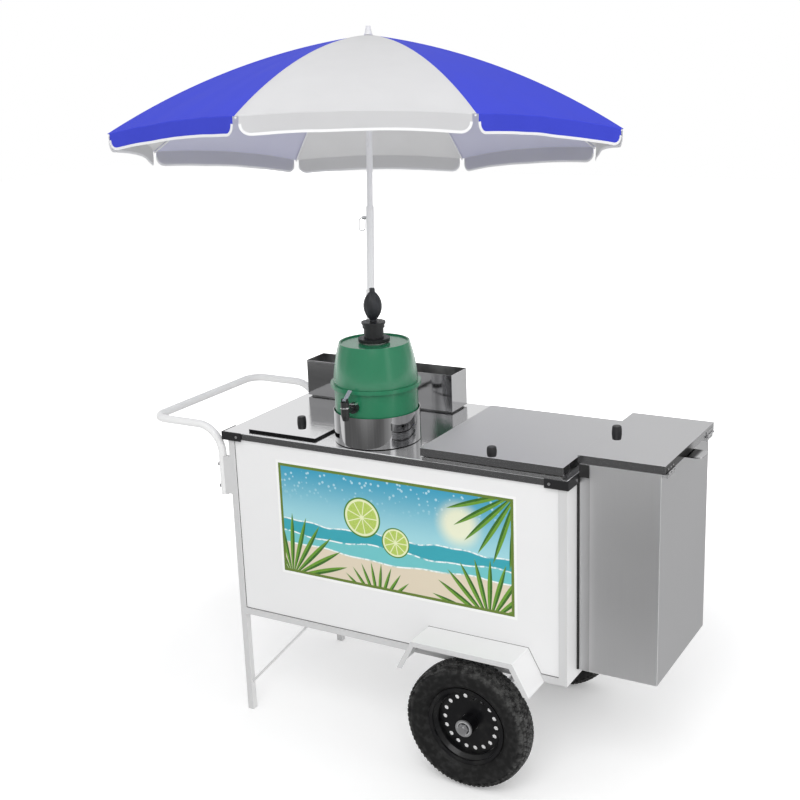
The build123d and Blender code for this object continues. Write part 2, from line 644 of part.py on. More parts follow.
# Knobs stand on their lids, away from the hinges
hatch_knob_place = (sum(hatch_x) / 2 + HATCH_KNOB_SHIFT, hatch_y[0] + HATCH_KNOB_INSET, hatch_z[1])
ice_knob_place = (sum(ice_x) / 2, ice_y[0] + ICE_KNOB_INSET, ice_z[1])
bin_knob_y = sum(bin_lid_y) / 2 - BIN_KNOB_SHIFT
bin_knob_place = (bin_lid_x[0] + BIN_KNOB_INSET, bin_knob_y, bin_lid_z[1])
nodes["hatch_knob"] = Pos(*hatch_knob_place) * knob(KNOB_HEIGHT)
nodes["ice_knob"] = Pos(*ice_knob_place) * knob(ICE_KNOB_HEIGHT)
nodes["bin_knob"] = Pos(*bin_knob_place) * knob(KNOB_HEIGHT)

# Push handle: one bent tube, bolted to lugs on the left posts that are hollowed to fit it
handle_radius = HANDLE_DIAMETER / 2
handle_z = WORKTOP_HEIGHT + HANDLE_RISE
handle_low = WORKTOP_HEIGHT - HANDLE_DROP
arm_front = LEG_SIDE / 2
arm_back = BODY_DEPTH - LEG_SIDE / 2
route = FilletPolyline(
    (-HANDLE_STANDOFF, arm_front, handle_low),
    (-HANDLE_STANDOFF, arm_front, handle_z),
    (-HANDLE_REACH, arm_front, handle_z),
    (-HANDLE_REACH, arm_back, handle_z),
    (-HANDLE_STANDOFF, arm_back, handle_z),
    (-HANDLE_STANDOFF, arm_back, handle_low),
    radius=[HANDLE_BEND, HANDLE_CORNER, HANDLE_CORNER, HANDLE_BEND],
)
start = Plane(route @ 0, z_dir=route % 0)
handle = sweep(start * Circle(handle_radius), path=route)
handle -= sweep(start * Circle(handle_radius - TUBE_WALL), path=route)
lug_z = (handle_low + HANDLE_LUG_MARGIN, handle_z - HANDLE_BEND - HANDLE_LUG_MARGIN)
bolts = []
for arm_y, leg_y in ((arm_front, front_leg_y), (arm_back, back_leg_y)):
    lug = block((-HANDLE_STANDOFF, 0), leg_y, lug_z)
    lug -= rod(
        (-HANDLE_STANDOFF, arm_y, lug_z[0]),
        (-HANDLE_STANDOFF, arm_y, lug_z[1]),
        handle_radius + SEAT_GAP,
    )
    for bolt_drop in HANDLE_BOLT_DROPS:
        bolt_z = WORKTOP_HEIGHT - bolt_drop
        outside = -HANDLE_STANDOFF - handle_radius - SEAT_GAP
        shank = rod((outside, arm_y, bolt_z), (0, arm_y, bolt_z), BOLT_DIAMETER / 2)
        head_end = (outside - BOLT_HEAD_HEIGHT, arm_y, bolt_z)
        head = rod(head_end, (outside, arm_y, bolt_z), BOLT_HEAD_DIAMETER / 2)
        bolts.append(head + shank)
        hole = rod((outside, arm_y, bolt_z), (0, arm_y, bolt_z), BOLT_DIAMETER / 2 + SEAT_GAP)
        handle -= hole
        lug -= hole
    frame.append(lug)
nodes["handle"] = handle
nodes["frame"] = group(*frame)

# Wheels, drawn with the axle along y and the outside of the wheel towards -y
half_tyre = TYRE_WIDTH / 2
half_bead = BEAD_WIDTH / 2
half_well = RIM_WELL_WIDTH / 2
half_hub = HUB_LENGTH / 2
bulge_radius = (RIM_FLANGE_RADIUS + WHEEL_RADIUS) / 2
shoulder_radius = WHEEL_RADIUS - TYRE_WALL
shoulder = half_tyre - TYRE_WALL
bead_base = BEAD_RADIUS + SEAT_GAP
bead_top = RIM_FLANGE_RADIUS + SEAT_GAP
bead_out = half_bead - SEAT_GAP
bead_in = bead_out - TYRE_WALL
seat_out = half_bead + RIM_WALL


def tyre_side(side):
    """Outline of a tyre's outer and inner wall on one side of its middle."""
    outer = ThreePointArc(
        (bead_top, side * bead_out),
        (bulge_radius, side * half_tyre),
        (shoulder_radius, side * shoulder),
    )
    inner = ThreePointArc(
        (bead_top, side * bead_in),
        (bulge_radius, side * (half_tyre - TYRE_WALL)),
        (shoulder_radius - TYRE_WALL, side * (shoulder - TYRE_WALL)),
    )
    bead = Polyline(
        (bead_top, side * bead_out),
        (bead_base, side * bead_out),
        (bead_base, side * bead_in),
        (bead_top, side * bead_in),
    )
    return [outer, inner, bead]


crown_arc = ThreePointArc((shoulder_radius, -shoulder), (WHEEL_RADIUS, 0), (shoulder_radius, shoulder))
lining_arc = ThreePointArc(
    (shoulder_radius - TYRE_WALL, TYRE_WALL - shoulder),
    (WHEEL_RADIUS - TYRE_WALL, 0),
    (shoulder_radius - TYRE_WALL, shoulder - TYRE_WALL),
)
tyre = revolve(make_face([crown_arc, lining_arc, *tyre_side(-1), *tyre_side(1)]), Axis.Y)

# Rim: a rolled barrel with a well, with a disc that has a ring of holes and a hub welded in
under_seat = BEAD_RADIUS - RIM_WALL
under_well = RIM_WELL_RADIUS - RIM_WALL
well_edge = half_well + BEAD_RADIUS - RIM_WELL_RADIUS
barrel_side = [
    (RIM_FLANGE_RADIUS, half_bead),
    (BEAD_RADIUS, half_bead),
    (BEAD_RADIUS, well_edge),
    (RIM_WELL_RADIUS, half_well),
]
barrel_back = [
    (under_well, half_well + RIM_WALL),
    (under_seat, well_edge + RIM_WALL),
    (under_seat, seat_out),
    (RIM_FLANGE_RADIUS, seat_out),
]
rolled = barrel_side + [(r, -y) for r, y in barrel_side[::-1]]
rolled += [(r, -y) for r, y in barrel_back[::-1]] + barrel_back
rim_barrel = revolve(make_face(Polyline(*rolled, close=True)), Axis.Y)
disc_face = (0, DISC_INSET - RIM_WALL / 2, 0)
disc_back = (0, DISC_INSET + RIM_WALL / 2, 0)
rim_disc = tube(disc_face, disc_back, under_well - SEAT_GAP, HUB_DIAMETER / 2 + SEAT_GAP)
disc_hole = Pos(DISC_HOLE_CIRCLE, 0, 0) * rod(disc_face, disc_back, DISC_HOLE_DIAMETER / 2)
for index in range(DISC_HOLES):
    rim_disc -= Rot(0, index * 360 / DISC_HOLES, 0) * disc_hole
hub_bore = BEARING_DIAMETER / 2 + RUN_CLEARANCE
rim_hub = tube((0, -half_hub, 0), (0, half_hub, 0), HUB_DIAMETER / 2, hub_bore)
rim = group(rim_barrel, rim_disc, rim_hub)
front_wheel = Pos(wheel_x, -WHEEL_OFFSET, axle_z)
back_wheel = Pos(wheel_x, BODY_DEPTH + WHEEL_OFFSET, axle_z) * Rot(0, 0, 180)
nodes["front_tyre"] = front_wheel * tyre
nodes["front_rim"] = front_wheel * rim
nodes["back_tyre"] = back_wheel * tyre
nodes["back_rim"] = back_wheel * rim

# Axle with a sleeve from each hub to its hanger, its bearings and its nuts
axle_radius = AXLE_DIAMETER / 2
bearing = tube((0, 0, 0), (0, BEARING_WIDTH, 0), BEARING_DIAMETER / 2, axle_radius)
nut_outline = RegularPolygon(AXLE_NUT_FLATS / 2, 6, major_radius=False) - Circle(axle_radius)
nut = extrude(Plane.XZ * nut_outline, AXLE_NUT_HEIGHT)
nut_start = half_hub + SEAT_GAP
axle_end = WHEEL_OFFSET + nut_start + AXLE_NUT_HEIGHT + AXLE_STUB
axle = rod((wheel_x, -axle_end, axle_z), (wheel_x, BODY_DEPTH + axle_end, axle_z), axle_radius)
for hub_end, hanger_face in (
    (half_hub - WHEEL_OFFSET + SEAT_GAP, hanger_faces[0][0]),
    (BODY_DEPTH + WHEEL_OFFSET - half_hub - SEAT_GAP, hanger_faces[1][1]),
):
    axle += rod((wheel_x, hub_end, axle_z), (wheel_x, hanger_face, axle_z), AXLE_SLEEVE_DIAMETER / 2)
nodes["axle"] = axle
bearings = []
axle_nuts = []
for wheel in (front_wheel, back_wheel):
    bearings.append(wheel * Pos(0, -half_hub, 0) * bearing)
    bearings.append(wheel * Pos(0, half_hub - BEARING_WIDTH, 0) * bearing)
    axle_nuts.append(wheel * Pos(0, -nut_start, 0) * nut)
nodes["axle_bearings"] = group(*bearings)
nodes["fasteners"] = group(*screws, *bolts, *axle_nuts)

# Fenders: folded sheets on the panels over the wheels, with a lip along the free edge and
# a tail that reaches into the frame to the panel
fender_low = RIDE_HEIGHT
fender_high = 2 * WHEEL_RADIUS + FENDER_CLEARANCE
fender_slope = (FENDER_BOTTOM - FENDER_TOP) / 2 / (fender_high - fender_low)


def fender_outline(inset):
    """The fender's section, moved in from its top and its sloping sides."""
    side = inset * math.hypot(1, fender_slope)
    low = FENDER_BOTTOM / 2 - side
    high = low - (fender_high - fender_low - inset) * fender_slope
    top = fender_high - inset
    corners = [(-low, fender_low), (-high, top), (high, top), (low, fender_low)]
    return Plane.XZ * Pos(wheel_x, 0) * make_face(Polyline(*corners, close=True))


fender_fold = fender_outline(0) - fender_outline(FENDER_SHEET)
fender = extrude(fender_fold, FENDER_DEPTH)
fender += extrude(fender_fold, -PANEL_RECESS) - block(inner_x, (0, PANEL_RECESS), bottom_rail_z)
lip = extrude(fender_outline(0) - fender_outline(FENDER_LIP), FENDER_SHEET)
fender += Pos(0, FENDER_SHEET - FENDER_DEPTH, 0) * lip
back_fender = Pos(0, BODY_DEPTH, 0) * mirror(fender, Plane.XZ)
nodes["fenders"] = group(fender, back_fender)

# Ring stand and the keg in it, drawn about the keg's axis from the worktop up
keg_place = Pos(KEG_X, KEG_Y, WORKTOP_HEIGHT)
nodes["keg_ring"] = keg_place * tube((0, 0, 0), (0, 0, RING_HEIGHT), RING_RADIUS, RING_RADIUS - SHEET)
band_top = KEG_BAND_LOW + KEG_BAND_HEIGHT
keg_deck = KEG_HEIGHT - KEG_DECK_DROP
neck_hole = NECK_RADIUS + SEAT_GAP


def shoulder(inset):
    """The keg's bowed shoulder from the band to its rim, moved in by a wall."""
    low = (KEG_SHOULDER_RADIUS - inset, band_top)
    high = (KEG_RIM_RADIUS - inset, KEG_HEIGHT)
    middle = ((low[0] + high[0]) / 2 + KEG_SHOULDER_BULGE, (low[1] + high[1]) / 2)
    return ThreePointArc(low, middle, high)


outside = Polyline(
    (0, KEG_HEIGHT),
    (0, 0),
    (KEG_RADIUS - KEG_BASE_CHAMFER, 0),
    (KEG_RADIUS, KEG_BASE_CHAMFER),
    (KEG_RADIUS, KEG_BAND_LOW),
    (KEG_BAND_RADIUS, KEG_BAND_LOW),
    (KEG_BAND_RADIUS, band_top),
    (KEG_SHOULDER_RADIUS, band_top),
)
inside = Polyline(
    (0, KEG_HEIGHT),
    (0, KEG_WALL),
    (KEG_RADIUS - KEG_BASE_CHAMFER - KEG_WALL, KEG_WALL),
    (KEG_RADIUS - KEG_WALL, KEG_BASE_CHAMFER + KEG_WALL),
    (KEG_RADIUS - KEG_WALL, band_top),
    (KEG_SHOULDER_RADIUS - KEG_WALL, band_top),
)
shell_top = Polyline((KEG_RIM_RADIUS, KEG_HEIGHT), (0, KEG_HEIGHT))
hollow_top = Polyline((KEG_RIM_RADIUS - KEG_WALL, KEG_HEIGHT), (0, KEG_HEIGHT))
hollow = turned(inside, shoulder(KEG_WALL), hollow_top)
hollow &= Cylinder(KEG_BAND_RADIUS, keg_deck - KEG_DECK, align=MIN_Z)
keg_shell = turned(outside, shoulder(0), shell_top) - hollow
keg_shell -= Pos(0, 0, keg_deck) * Cylinder(KEG_RIM_RADIUS - KEG_RIM_WIDTH, KEG_DECK, align=MIN_Z)
keg_shell -= Pos(0, 0, keg_deck - KEG_DECK) * Cylinder(neck_hole, KEG_DECK, align=MIN_Z)

# Liner: a bottle on the shell's floor whose neck comes up through the deck
neck_low = LINER_SHOULDER + NECK_SLOPE


def bottle(inset, low, high):
    """The liner's outline, moved in by its wall, from one height to another."""
    corners = [
        (0, low),
        (LINER_RADIUS - inset, low),
        (LINER_RADIUS - inset, LINER_SHOULDER),
        (NECK_RADIUS - inset, neck_low),
        (NECK_RADIUS - inset, high),
        (0, high),
    ]
    return turned(Polyline(*corners, close=True))


neck_high = KEG_HEIGHT
keg_liner = bottle(0, KEG_WALL, neck_high) - bottle(LINER_WALL, KEG_WALL + LINER_WALL, neck_high)

# Tap: a stem through both walls, a nut, a spout with its bore, and ears for the lever
stem_radius = TAP_STEM_DIAMETER / 2
stem_inner = (0, TAP_STEM_INSIDE - LINER_RADIUS, TAP_HEIGHT)
spout_y = -KEG_RADIUS - TAP_REACH
spout_top = TAP_HEIGHT + SPOUT_RISE
spout_low = TAP_HEIGHT - SPOUT_DROP
wall_y = -KEG_RADIUS - SEAT_GAP
stem_hole = rod(stem_inner, (0, -KEG_RADIUS, TAP_HEIGHT), stem_radius + SEAT_GAP)
keg_shell -= stem_hole
keg_liner -= stem_hole
stem_end = (0, spout_y + SPOUT_WEB, TAP_HEIGHT)
taper_top = TAP_HEIGHT - stem_radius - SPOUT_BAND_HEIGHT
tap = rod(stem_inner, stem_end, stem_radius)
tap += rod((0, wall_y, TAP_HEIGHT), (0, wall_y - TAP_NUT_LENGTH, TAP_HEIGHT), TAP_NUT_DIAMETER / 2)
spout = turned(
    Polyline(
        (0, spout_low),
        (SPOUT_END_DIAMETER / 2, spout_low),
        (SPOUT_TOP_DIAMETER / 2, taper_top),
        (SPOUT_TOP_DIAMETER / 2, spout_top),
        (0, spout_top),
        close=True,
    )
)
band_low = TAP_HEIGHT + stem_radius + SPOUT_BAND_HEIGHT
spout += Pos(0, 0, band_low) * Cylinder(SPOUT_BAND_DIAMETER / 2, SPOUT_BAND_HEIGHT, align=MIN_Z)
tap += Pos(0, spout_y, 0) * spout
lever_pivot = (0, spout_y, spout_top + EAR_HEIGHT / 2)
lever_slot = LEVER_WIDTH / 2 + SEAT_GAP
ear_x = (lever_slot, lever_slot + EAR_THICKNESS)
for ear in (ear_x, (-ear_x[1], -ear_x[0])):
    ear_y = (spout_y - EAR_HEIGHT / 2, spout_y + EAR_HEIGHT / 2)
    tap += block(ear, ear_y, (spout_top, spout_top + EAR_HEIGHT))
pin_ends = [(side * ear_x[1], lever_pivot[1], lever_pivot[2]) for side in (-1, 1)]
tap += rod(*pin_ends, LEVER_PIN_DIAMETER / 2)
tap -= rod((0, spout_y, spout_low), (0, spout_y, TAP_HEIGHT + SPOUT_BORE), SPOUT_BORE / 2)
tap -= rod(stem_inner, stem_end, SPOUT_BORE / 2)

# Lever: a barrel on the pin and a paddle that leans back over the spout
half_lever = LEVER_WIDTH / 2
paddle = block(
    (-half_lever, half_lever),
    (0, LEVER_LENGTH),
    (-LEVER_THICKNESS / 2, LEVER_THICKNESS / 2),
)
lever = rod((-half_lever, 0, 0), (half_lever, 0, 0), LEVER_BARREL_DIAMETER / 2)
lever += Rot(LEVER_ANGLE, 0, 0) * paddle
lever -= rod((-half_lever, 0, 0), (half_lever, 0, 0), LEVER_PIN_DIAMETER / 2 + RUN_CLEARANCE)

# The shell is two halves that meet on top of the band
below_joint = Cylinder(KEG_BAND_RADIUS, band_top, align=MIN_Z)
nodes["keg_shell"] = keg_place * group(keg_shell & below_joint, keg_shell - below_joint)
nodes["keg_liner"] = keg_place * keg_liner
nodes["tap_body"] = keg_place * tap
nodes["tap_lever"] = keg_place * Pos(*lever_pivot) * lever

# Stopper: a plug in the liner's neck, a flange on the neck and a column with a lipped cap
plug_radius = NECK_RADIUS - LINER_WALL - SEAT_GAP
flange_low = KEG_HEIGHT + SEAT_GAP
column_low = flange_low + STOPPER_FLANGE
cap_low = column_low + STOPPER_COLUMN
cap_top = cap_low + STOPPER_CAP
lip_low = cap_top - STOPPER_LIP
stopper = turned(
    Polyline(
        (AIR_WAY_DIAMETER / 2, flange_low - PLUG_LENGTH),
        (plug_radius, flange_low - PLUG_LENGTH),
        (plug_radius, flange_low),
        (STOPPER_FLANGE_RADIUS, flange_low),
        (STOPPER_FLANGE_RADIUS, column_low),
        (STOPPER_COLUMN_RADIUS, column_low),
        (STOPPER_COLUMN_RADIUS, cap_low),
        (STOPPER_COLLAR_RADIUS, cap_low),
        (STOPPER_COLLAR_RADIUS, lip_low),
        (STOPPER_CAP_RADIUS, lip_low),
        (STOPPER_CAP_RADIUS, cap_top),
        (AIR_WAY_DIAMETER / 2, cap_top),
        close=True,
    )
)
nodes["stopper"] = keg_place * stopper

# Pump bulb: a hollow rubber ball on a neck, with a valve at its tip
bulb_low = cap_top + BULB_NECK
bulb_top = bulb_low + BULB_HEIGHT
bulb_tip = bulb_top + BULB_TIP
bulb = turned(
    Polyline((AIR_WAY_DIAMETER / 2, cap_top), (BULB_NECK_RADIUS, cap_top), (BULB_NECK_RADIUS, bulb_low)),
    ThreePointArc(
        (BULB_NECK_RADIUS, bulb_low), (BULB_RADIUS, bulb_low + BULB_HEIGHT / 2), (BULB_TIP_RADIUS, bulb_top)
    ),
    Polyline(
        (BULB_TIP_RADIUS, bulb_top),
        (BULB_TIP_RADIUS, bulb_tip),
        (AIR_WAY_DIAMETER / 2, bulb_tip),
        (AIR_WAY_DIAMETER / 2, cap_top),
    ),
)
nodes["rubber_bulb"] = keg_place * bulb

# Umbrella socket: a tube from a plate on the floor up through the worktop
socket_bore = lower_pole_radius + SLIDE_CLEARANCE
socket_low = plate_station - SOCKET_DIAMETER
socket = pole * tube((0, 0, socket_low), (0, 0, SOCKET_TOP), socket_radius, socket_bore)
foot = pole.from_local_coords((0, 0, plate_station))
half_plate = SOCKET_PLATE / 2
plate_x = (foot.X - half_plate, foot.X + half_plate)
plate_y = (foot.Y - half_plate, foot.Y + half_plate)
socket -= block(grow(plate_x, half_plate), grow(plate_y, half_plate), (0, floor_top))
socket += block(plate_x, plate_y, (floor_top, plate_top))
nodes["umbrella_socket"] = socket

# Poles: the upper one telescopes in the lower one and a ring pin locks them
upper_bore = upper_pole_radius + SLIDE_CLEARANCE
lower_pole_foot = plate_station + POLE_FOOT_GAP
upper_pole_foot = LOWER_POLE_TOP - UPPER_POLE_INSERT
crown_station = LOWER_POLE_TOP + CROWN_RISE
pole_top = crown_station + APEX_RISE + CLOTH
lock_station = LOWER_POLE_TOP - LOCK_DROP
lock_radius = LOCK_PIN_DIAMETER / 2
lower_pole = tube((0, 0, lower_pole_foot), (0, 0, LOWER_POLE_TOP), lower_pole_radius, upper_bore)
lock_hole = lock_radius + SLIDE_CLEARANCE
lower_pole -= rod((0, 0, lock_station), (-LOWER_POLE_DIAMETER, 0, lock_station), lock_hole)
nodes["lower_pole"] = pole * lower_pole
nodes["upper_pole"] = pole * tube(
    (0, 0, upper_pole_foot), (0, 0, pole_top), upper_pole_radius, upper_pole_radius - UPPER_POLE_WALL
)
lock_tip = upper_pole_radius + SEAT_GAP
head_start = lower_pole_radius + SEAT_GAP
head_end = head_start + LOCK_HEAD_LENGTH
lock_pin = rod((-lock_tip, 0, lock_station), (-head_end, 0, lock_station), lock_radius)
lock_pin += rod((-head_start, 0, lock_station), (-head_end, 0, lock_station), LOCK_HEAD_DIAMETER / 2)
ring_middle = (-head_end, 0, lock_station - LOCK_RING_LENGTH / 2)
ring_plane = Plane(ring_middle, x_dir=(0, 0, 1), z_dir=(0, -1, 0))
ring_wire = (ring_plane * SlotOverall(LOCK_RING_LENGTH, LOCK_RING_WIDTH)).wire()
ring_section = Plane(ring_wire @ 0, z_dir=ring_wire % 0) * Circle(LOCK_RING_WIRE / 2)
lock_pin += sweep(ring_section, path=ring_wire)
nodes["lock_pin"] = pole * lock_pin

# Fold of the umbrella, in a rib's plane as (radius, station)
pivot = Vector(RIB_PIVOT_RADIUS, crown_station)
tip = Vector(RIB_REACH, crown_station - RIB_DROP)
rise = (tip - pivot).normalized().rotate(Axis.Z, 90)
bow = (pivot + tip) / 2 + rise * RIB_BOW
half_chord = (tip - pivot).length / 2
arc_radius = (half_chord**2 + RIB_BOW**2) / (2 * RIB_BOW)
arc_centre = bow - rise * arc_radius
seat_drop = math.sqrt(arc_radius**2 - (STRETCHER_SEAT - arc_centre.X) ** 2)
seat = Vector(STRETCHER_SEAT, arc_centre.Y + seat_drop)
runner_station = crown_station - RUNNER_DROP
runner_pivot = Vector(RUNNER_PIVOT_RADIUS, runner_station)
stretcher_length = (seat - runner_pivot).length
stretcher_angle = math.degrees(math.atan2(seat.Y - runner_pivot.Y, seat.X - runner_pivot.X))
folded_seat = pivot + (seat - pivot).rotate(Axis.Z, -FOLD_ANGLE)
folded_reach = folded_seat.X - RUNNER_PIVOT_RADIUS
folded_rise = math.sqrt(stretcher_length**2 - folded_reach**2)
runner_travel = runner_station - (folded_seat.Y - folded_rise)
stretcher_turn = math.degrees(math.atan2(folded_rise, folded_reach)) - stretcher_angle
print(f"Folding: runner {runner_travel:.2f} mm down, stretchers {stretcher_turn:.2f} degrees")

rib_angles = [(index + 0.5) * 360 / RIBS for index in range(RIBS)]
rib_pin = RIB_PIN_DIAMETER / 2
rib_slot = RIB_DIAMETER / 2 + RIB_SLOT_CLEARANCE
stretcher_middle = (
    RIB_SLEEVE_DIAMETER / 2 + STRETCHER_CLEARANCE + STRETCHER_THICKNESS / 2
)
stretcher_slot = STRETCHER_THICKNESS / 2 + RIB_SLOT_CLEARANCE

# Crown: a slotted boss fixed on the upper pole, with a pin across each slot
crown_z = (crown_station - CROWN_LOW, crown_station + CROWN_HIGH)
crown = tube((0, 0, crown_z[0]), (0, 0, crown_z[1]), CROWN_RADIUS, upper_pole_radius)
for angle in rib_angles:
    slot = block((CROWN_CORE_RADIUS, CROWN_RADIUS * 2), (-rib_slot, rib_slot), crown_z)
    crown -= Rot(0, 0, angle) * slot
for angle in rib_angles:
    ends = [(RIB_PIVOT_RADIUS, side * rib_slot * 1.5, crown_station) for side in (-1, 1)]
    crown += Rot(0, 0, angle) * rod(*ends, rib_pin)
nodes["crown"] = pole * crown

# Finial: a turned cap on top of the pole and the cloth
finial_low = pole_top
finial = turned(
    Polyline((0, finial_low + FINIAL_HEIGHT), (0, finial_low), (FINIAL_RADIUS, finial_low)),
    ThreePointArc(
        (FINIAL_RADIUS, finial_low),
        ((FINIAL_RADIUS + FINIAL_TIP_RADIUS) / 2 - 1, finial_low + FINIAL_HEIGHT / 2),
        (FINIAL_TIP_RADIUS, finial_low + FINIAL_HEIGHT),
    ),
    Line((FINIAL_TIP_RADIUS, finial_low + FINIAL_HEIGHT), (0, finial_low + FINIAL_HEIGHT)),
)
nodes["finial"] = pole * finial

# Runner: a slotted collar that slides on the upper pole and carries the stretchers
runner_z = (runner_station - RUNNER_TAIL, runner_station + RUNNER_HEAD)
slot_z = (runner_station - RUNNER_HEAD, runner_z[1])
runner = tube((0, 0, runner_z[0]), (0, 0, runner_z[1]), RUNNER_RADIUS, upper_bore)
for angle in rib_angles:
    slot_y = (stretcher_middle - stretcher_slot, stretcher_middle + stretcher_slot)
    runner -= Rot(0, 0, angle) * block((RUNNER_CORE_RADIUS, RUNNER_RADIUS * 2), slot_y, slot_z)
for angle in rib_angles:
    ends = [
        (RUNNER_PIVOT_RADIUS, stretcher_middle + side * stretcher_slot * 1.3, runner_station)
        for side in (-1, 1)
    ]
    runner += Rot(0, 0, angle) * rod(*ends, rib_pin)
nodes["runner"] = pole * runner

# Ribs: bowed wires with an eye on the crown, a sleeve at the stretcher and a tip
rib_arc = Plane.XZ * ThreePointArc(pivot, bow, tip)
rib = sweep(Plane(rib_arc @ 0, z_dir=rib_arc % 0) * Circle(RIB_DIAMETER / 2), path=rib_arc)
eye_ends = [(pivot.X, side * RIB_DIAMETER / 2, pivot.Y) for side in (-1, 1)]
rib += rod(*eye_ends, RIB_EYE_DIAMETER / 2)
rib += Pos(tip.X, 0, tip.Y) * Sphere(RIB_TIP_DIAMETER / 2)
along = (seat - arc_centre).normalized().rotate(Axis.Z, -90)
sleeve_ends = [seat + along * (side * RIB_SLEEVE_LENGTH / 2) for side in (-1, 1)]
rib += rod(*[(end.X, 0, end.Y) for end in sleeve_ends], RIB_SLEEVE_DIAMETER / 2)
rib -= rod(*eye_ends, rib_pin + RUN_CLEARANCE)

# Stretchers: flat bars beside the ribs, pinned to the runner
bar_outline = Pos(stretcher_length / 2, 0) * SlotCenterToCenter(stretcher_length, STRETCHER_HEIGHT)
bar_outline -= Circle(rib_pin + RUN_CLEARANCE)
stretcher = extrude(Plane.XZ * Rot(0, 0, stretcher_angle) * bar_outline, STRETCHER_THICKNESS / 2, both=True)
stretcher = Pos(RUNNER_PIVOT_RADIUS, stretcher_middle, runner_station) * stretcher
for number, angle in enumerate(rib_angles, start=1):
    nodes[f"rib_{number}"] = pole * Rot(0, 0, angle) * rib
    nodes[f"stretcher_{number}"] = pole * Rot(0, 0, angle) * stretcher

# Canopy: eight gores, each ruled between two ribs, with a valance that hangs from the edge
cloth_low = RIB_DIAMETER / 2 + CLOTH_GAP


def cloth_arc(offset):
    """The cloth's line over a rib, from the pole to the edge, at a height above the rib."""
    apex_radius = (upper_pole_radius + SEAT_GAP) / math.cos(math.pi / RIBS)
    apex = (apex_radius, crown_station + APEX_RISE + offset - cloth_low)
    middle = bow + rise * offset
    edge = (tip.X + RIB_TIP_DIAMETER / 2 + offset, tip.Y + offset)
    return ThreePointArc(apex, middle, edge)


under = cloth_arc(cloth_low)
over = cloth_arc(cloth_low + CLOTH)
hem = tip.Y + cloth_low - VALANCE
section = Plane.XZ * make_face(
    [
        under,
        over,
        Line(under @ 0, over @ 0),
        Polyline(under @ 1, ((under @ 1).X, hem), ((over @ 1).X, hem), over @ 1),
    ]
)
half_gore = 180 / RIBS
gores = []
for angle in rib_angles:
    sides = [pole * (Rot(0, 0, angle + turn_by) * section) for turn_by in (0, 2 * half_gore)]
    gores.append(loft(sides, ruled=True))
nodes["canopy"] = group(*gores)

# The part's origin is on the ground, under the middle of its outline
solids = [solid for shape in nodes.values() for solid in shape.solids()]
outline = Compound(children=solids).bounding_box()
middle = outline.center()
to_origin = Location((-middle.X, -middle.Y, -outline.min.Z))
for name, shape in nodes.items():
    export_step(to_origin * shape, f"parts/{name}.step")
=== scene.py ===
import json
import math

import bmesh
import bpy
from mathutils import Matrix, Vector, noise

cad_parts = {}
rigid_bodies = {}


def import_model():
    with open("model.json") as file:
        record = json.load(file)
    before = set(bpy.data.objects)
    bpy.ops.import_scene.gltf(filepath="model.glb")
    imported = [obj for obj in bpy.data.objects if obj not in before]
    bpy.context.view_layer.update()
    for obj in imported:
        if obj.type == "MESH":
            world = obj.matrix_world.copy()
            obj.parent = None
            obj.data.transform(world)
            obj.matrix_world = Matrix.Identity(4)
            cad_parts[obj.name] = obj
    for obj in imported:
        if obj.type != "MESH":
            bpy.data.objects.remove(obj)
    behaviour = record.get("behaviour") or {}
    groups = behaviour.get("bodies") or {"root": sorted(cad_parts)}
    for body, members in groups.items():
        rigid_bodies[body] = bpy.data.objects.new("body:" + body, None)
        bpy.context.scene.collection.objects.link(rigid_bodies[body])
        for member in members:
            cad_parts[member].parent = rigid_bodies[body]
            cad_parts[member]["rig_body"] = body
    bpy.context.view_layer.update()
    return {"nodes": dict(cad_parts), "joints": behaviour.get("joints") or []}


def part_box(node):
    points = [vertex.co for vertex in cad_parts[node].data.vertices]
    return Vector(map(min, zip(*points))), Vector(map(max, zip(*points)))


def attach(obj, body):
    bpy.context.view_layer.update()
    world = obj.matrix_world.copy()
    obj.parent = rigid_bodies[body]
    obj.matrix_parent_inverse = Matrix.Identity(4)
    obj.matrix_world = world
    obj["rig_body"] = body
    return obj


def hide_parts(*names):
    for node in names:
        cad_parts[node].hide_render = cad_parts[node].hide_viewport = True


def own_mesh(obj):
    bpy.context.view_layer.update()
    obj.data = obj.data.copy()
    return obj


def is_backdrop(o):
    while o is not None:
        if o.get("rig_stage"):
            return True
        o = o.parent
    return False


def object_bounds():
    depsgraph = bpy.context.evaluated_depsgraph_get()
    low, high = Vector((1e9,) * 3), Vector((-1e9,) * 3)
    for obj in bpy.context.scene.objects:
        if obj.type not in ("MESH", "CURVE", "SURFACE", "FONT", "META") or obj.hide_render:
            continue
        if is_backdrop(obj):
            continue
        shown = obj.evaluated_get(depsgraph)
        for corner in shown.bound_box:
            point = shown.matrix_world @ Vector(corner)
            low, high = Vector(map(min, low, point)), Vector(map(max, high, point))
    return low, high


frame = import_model()
bpy.context.scene.view_settings.view_transform = "Standard"

# Camera where the photographer stood: in front of the cart and off its right end, about as high
# as the umbrella's top, looking down on the worktop with the picture tipped a little.
CAMERA_ANGLES = (30.29, 15.92, 2.15)  # degrees round the cart, downwards and over to one side
CAMERA_PLACE = (1.8960, -3.4153, 2.064)
CAMERA_LENS = 57.67  # millimetres, as the sensor
CAMERA_SENSOR = 36

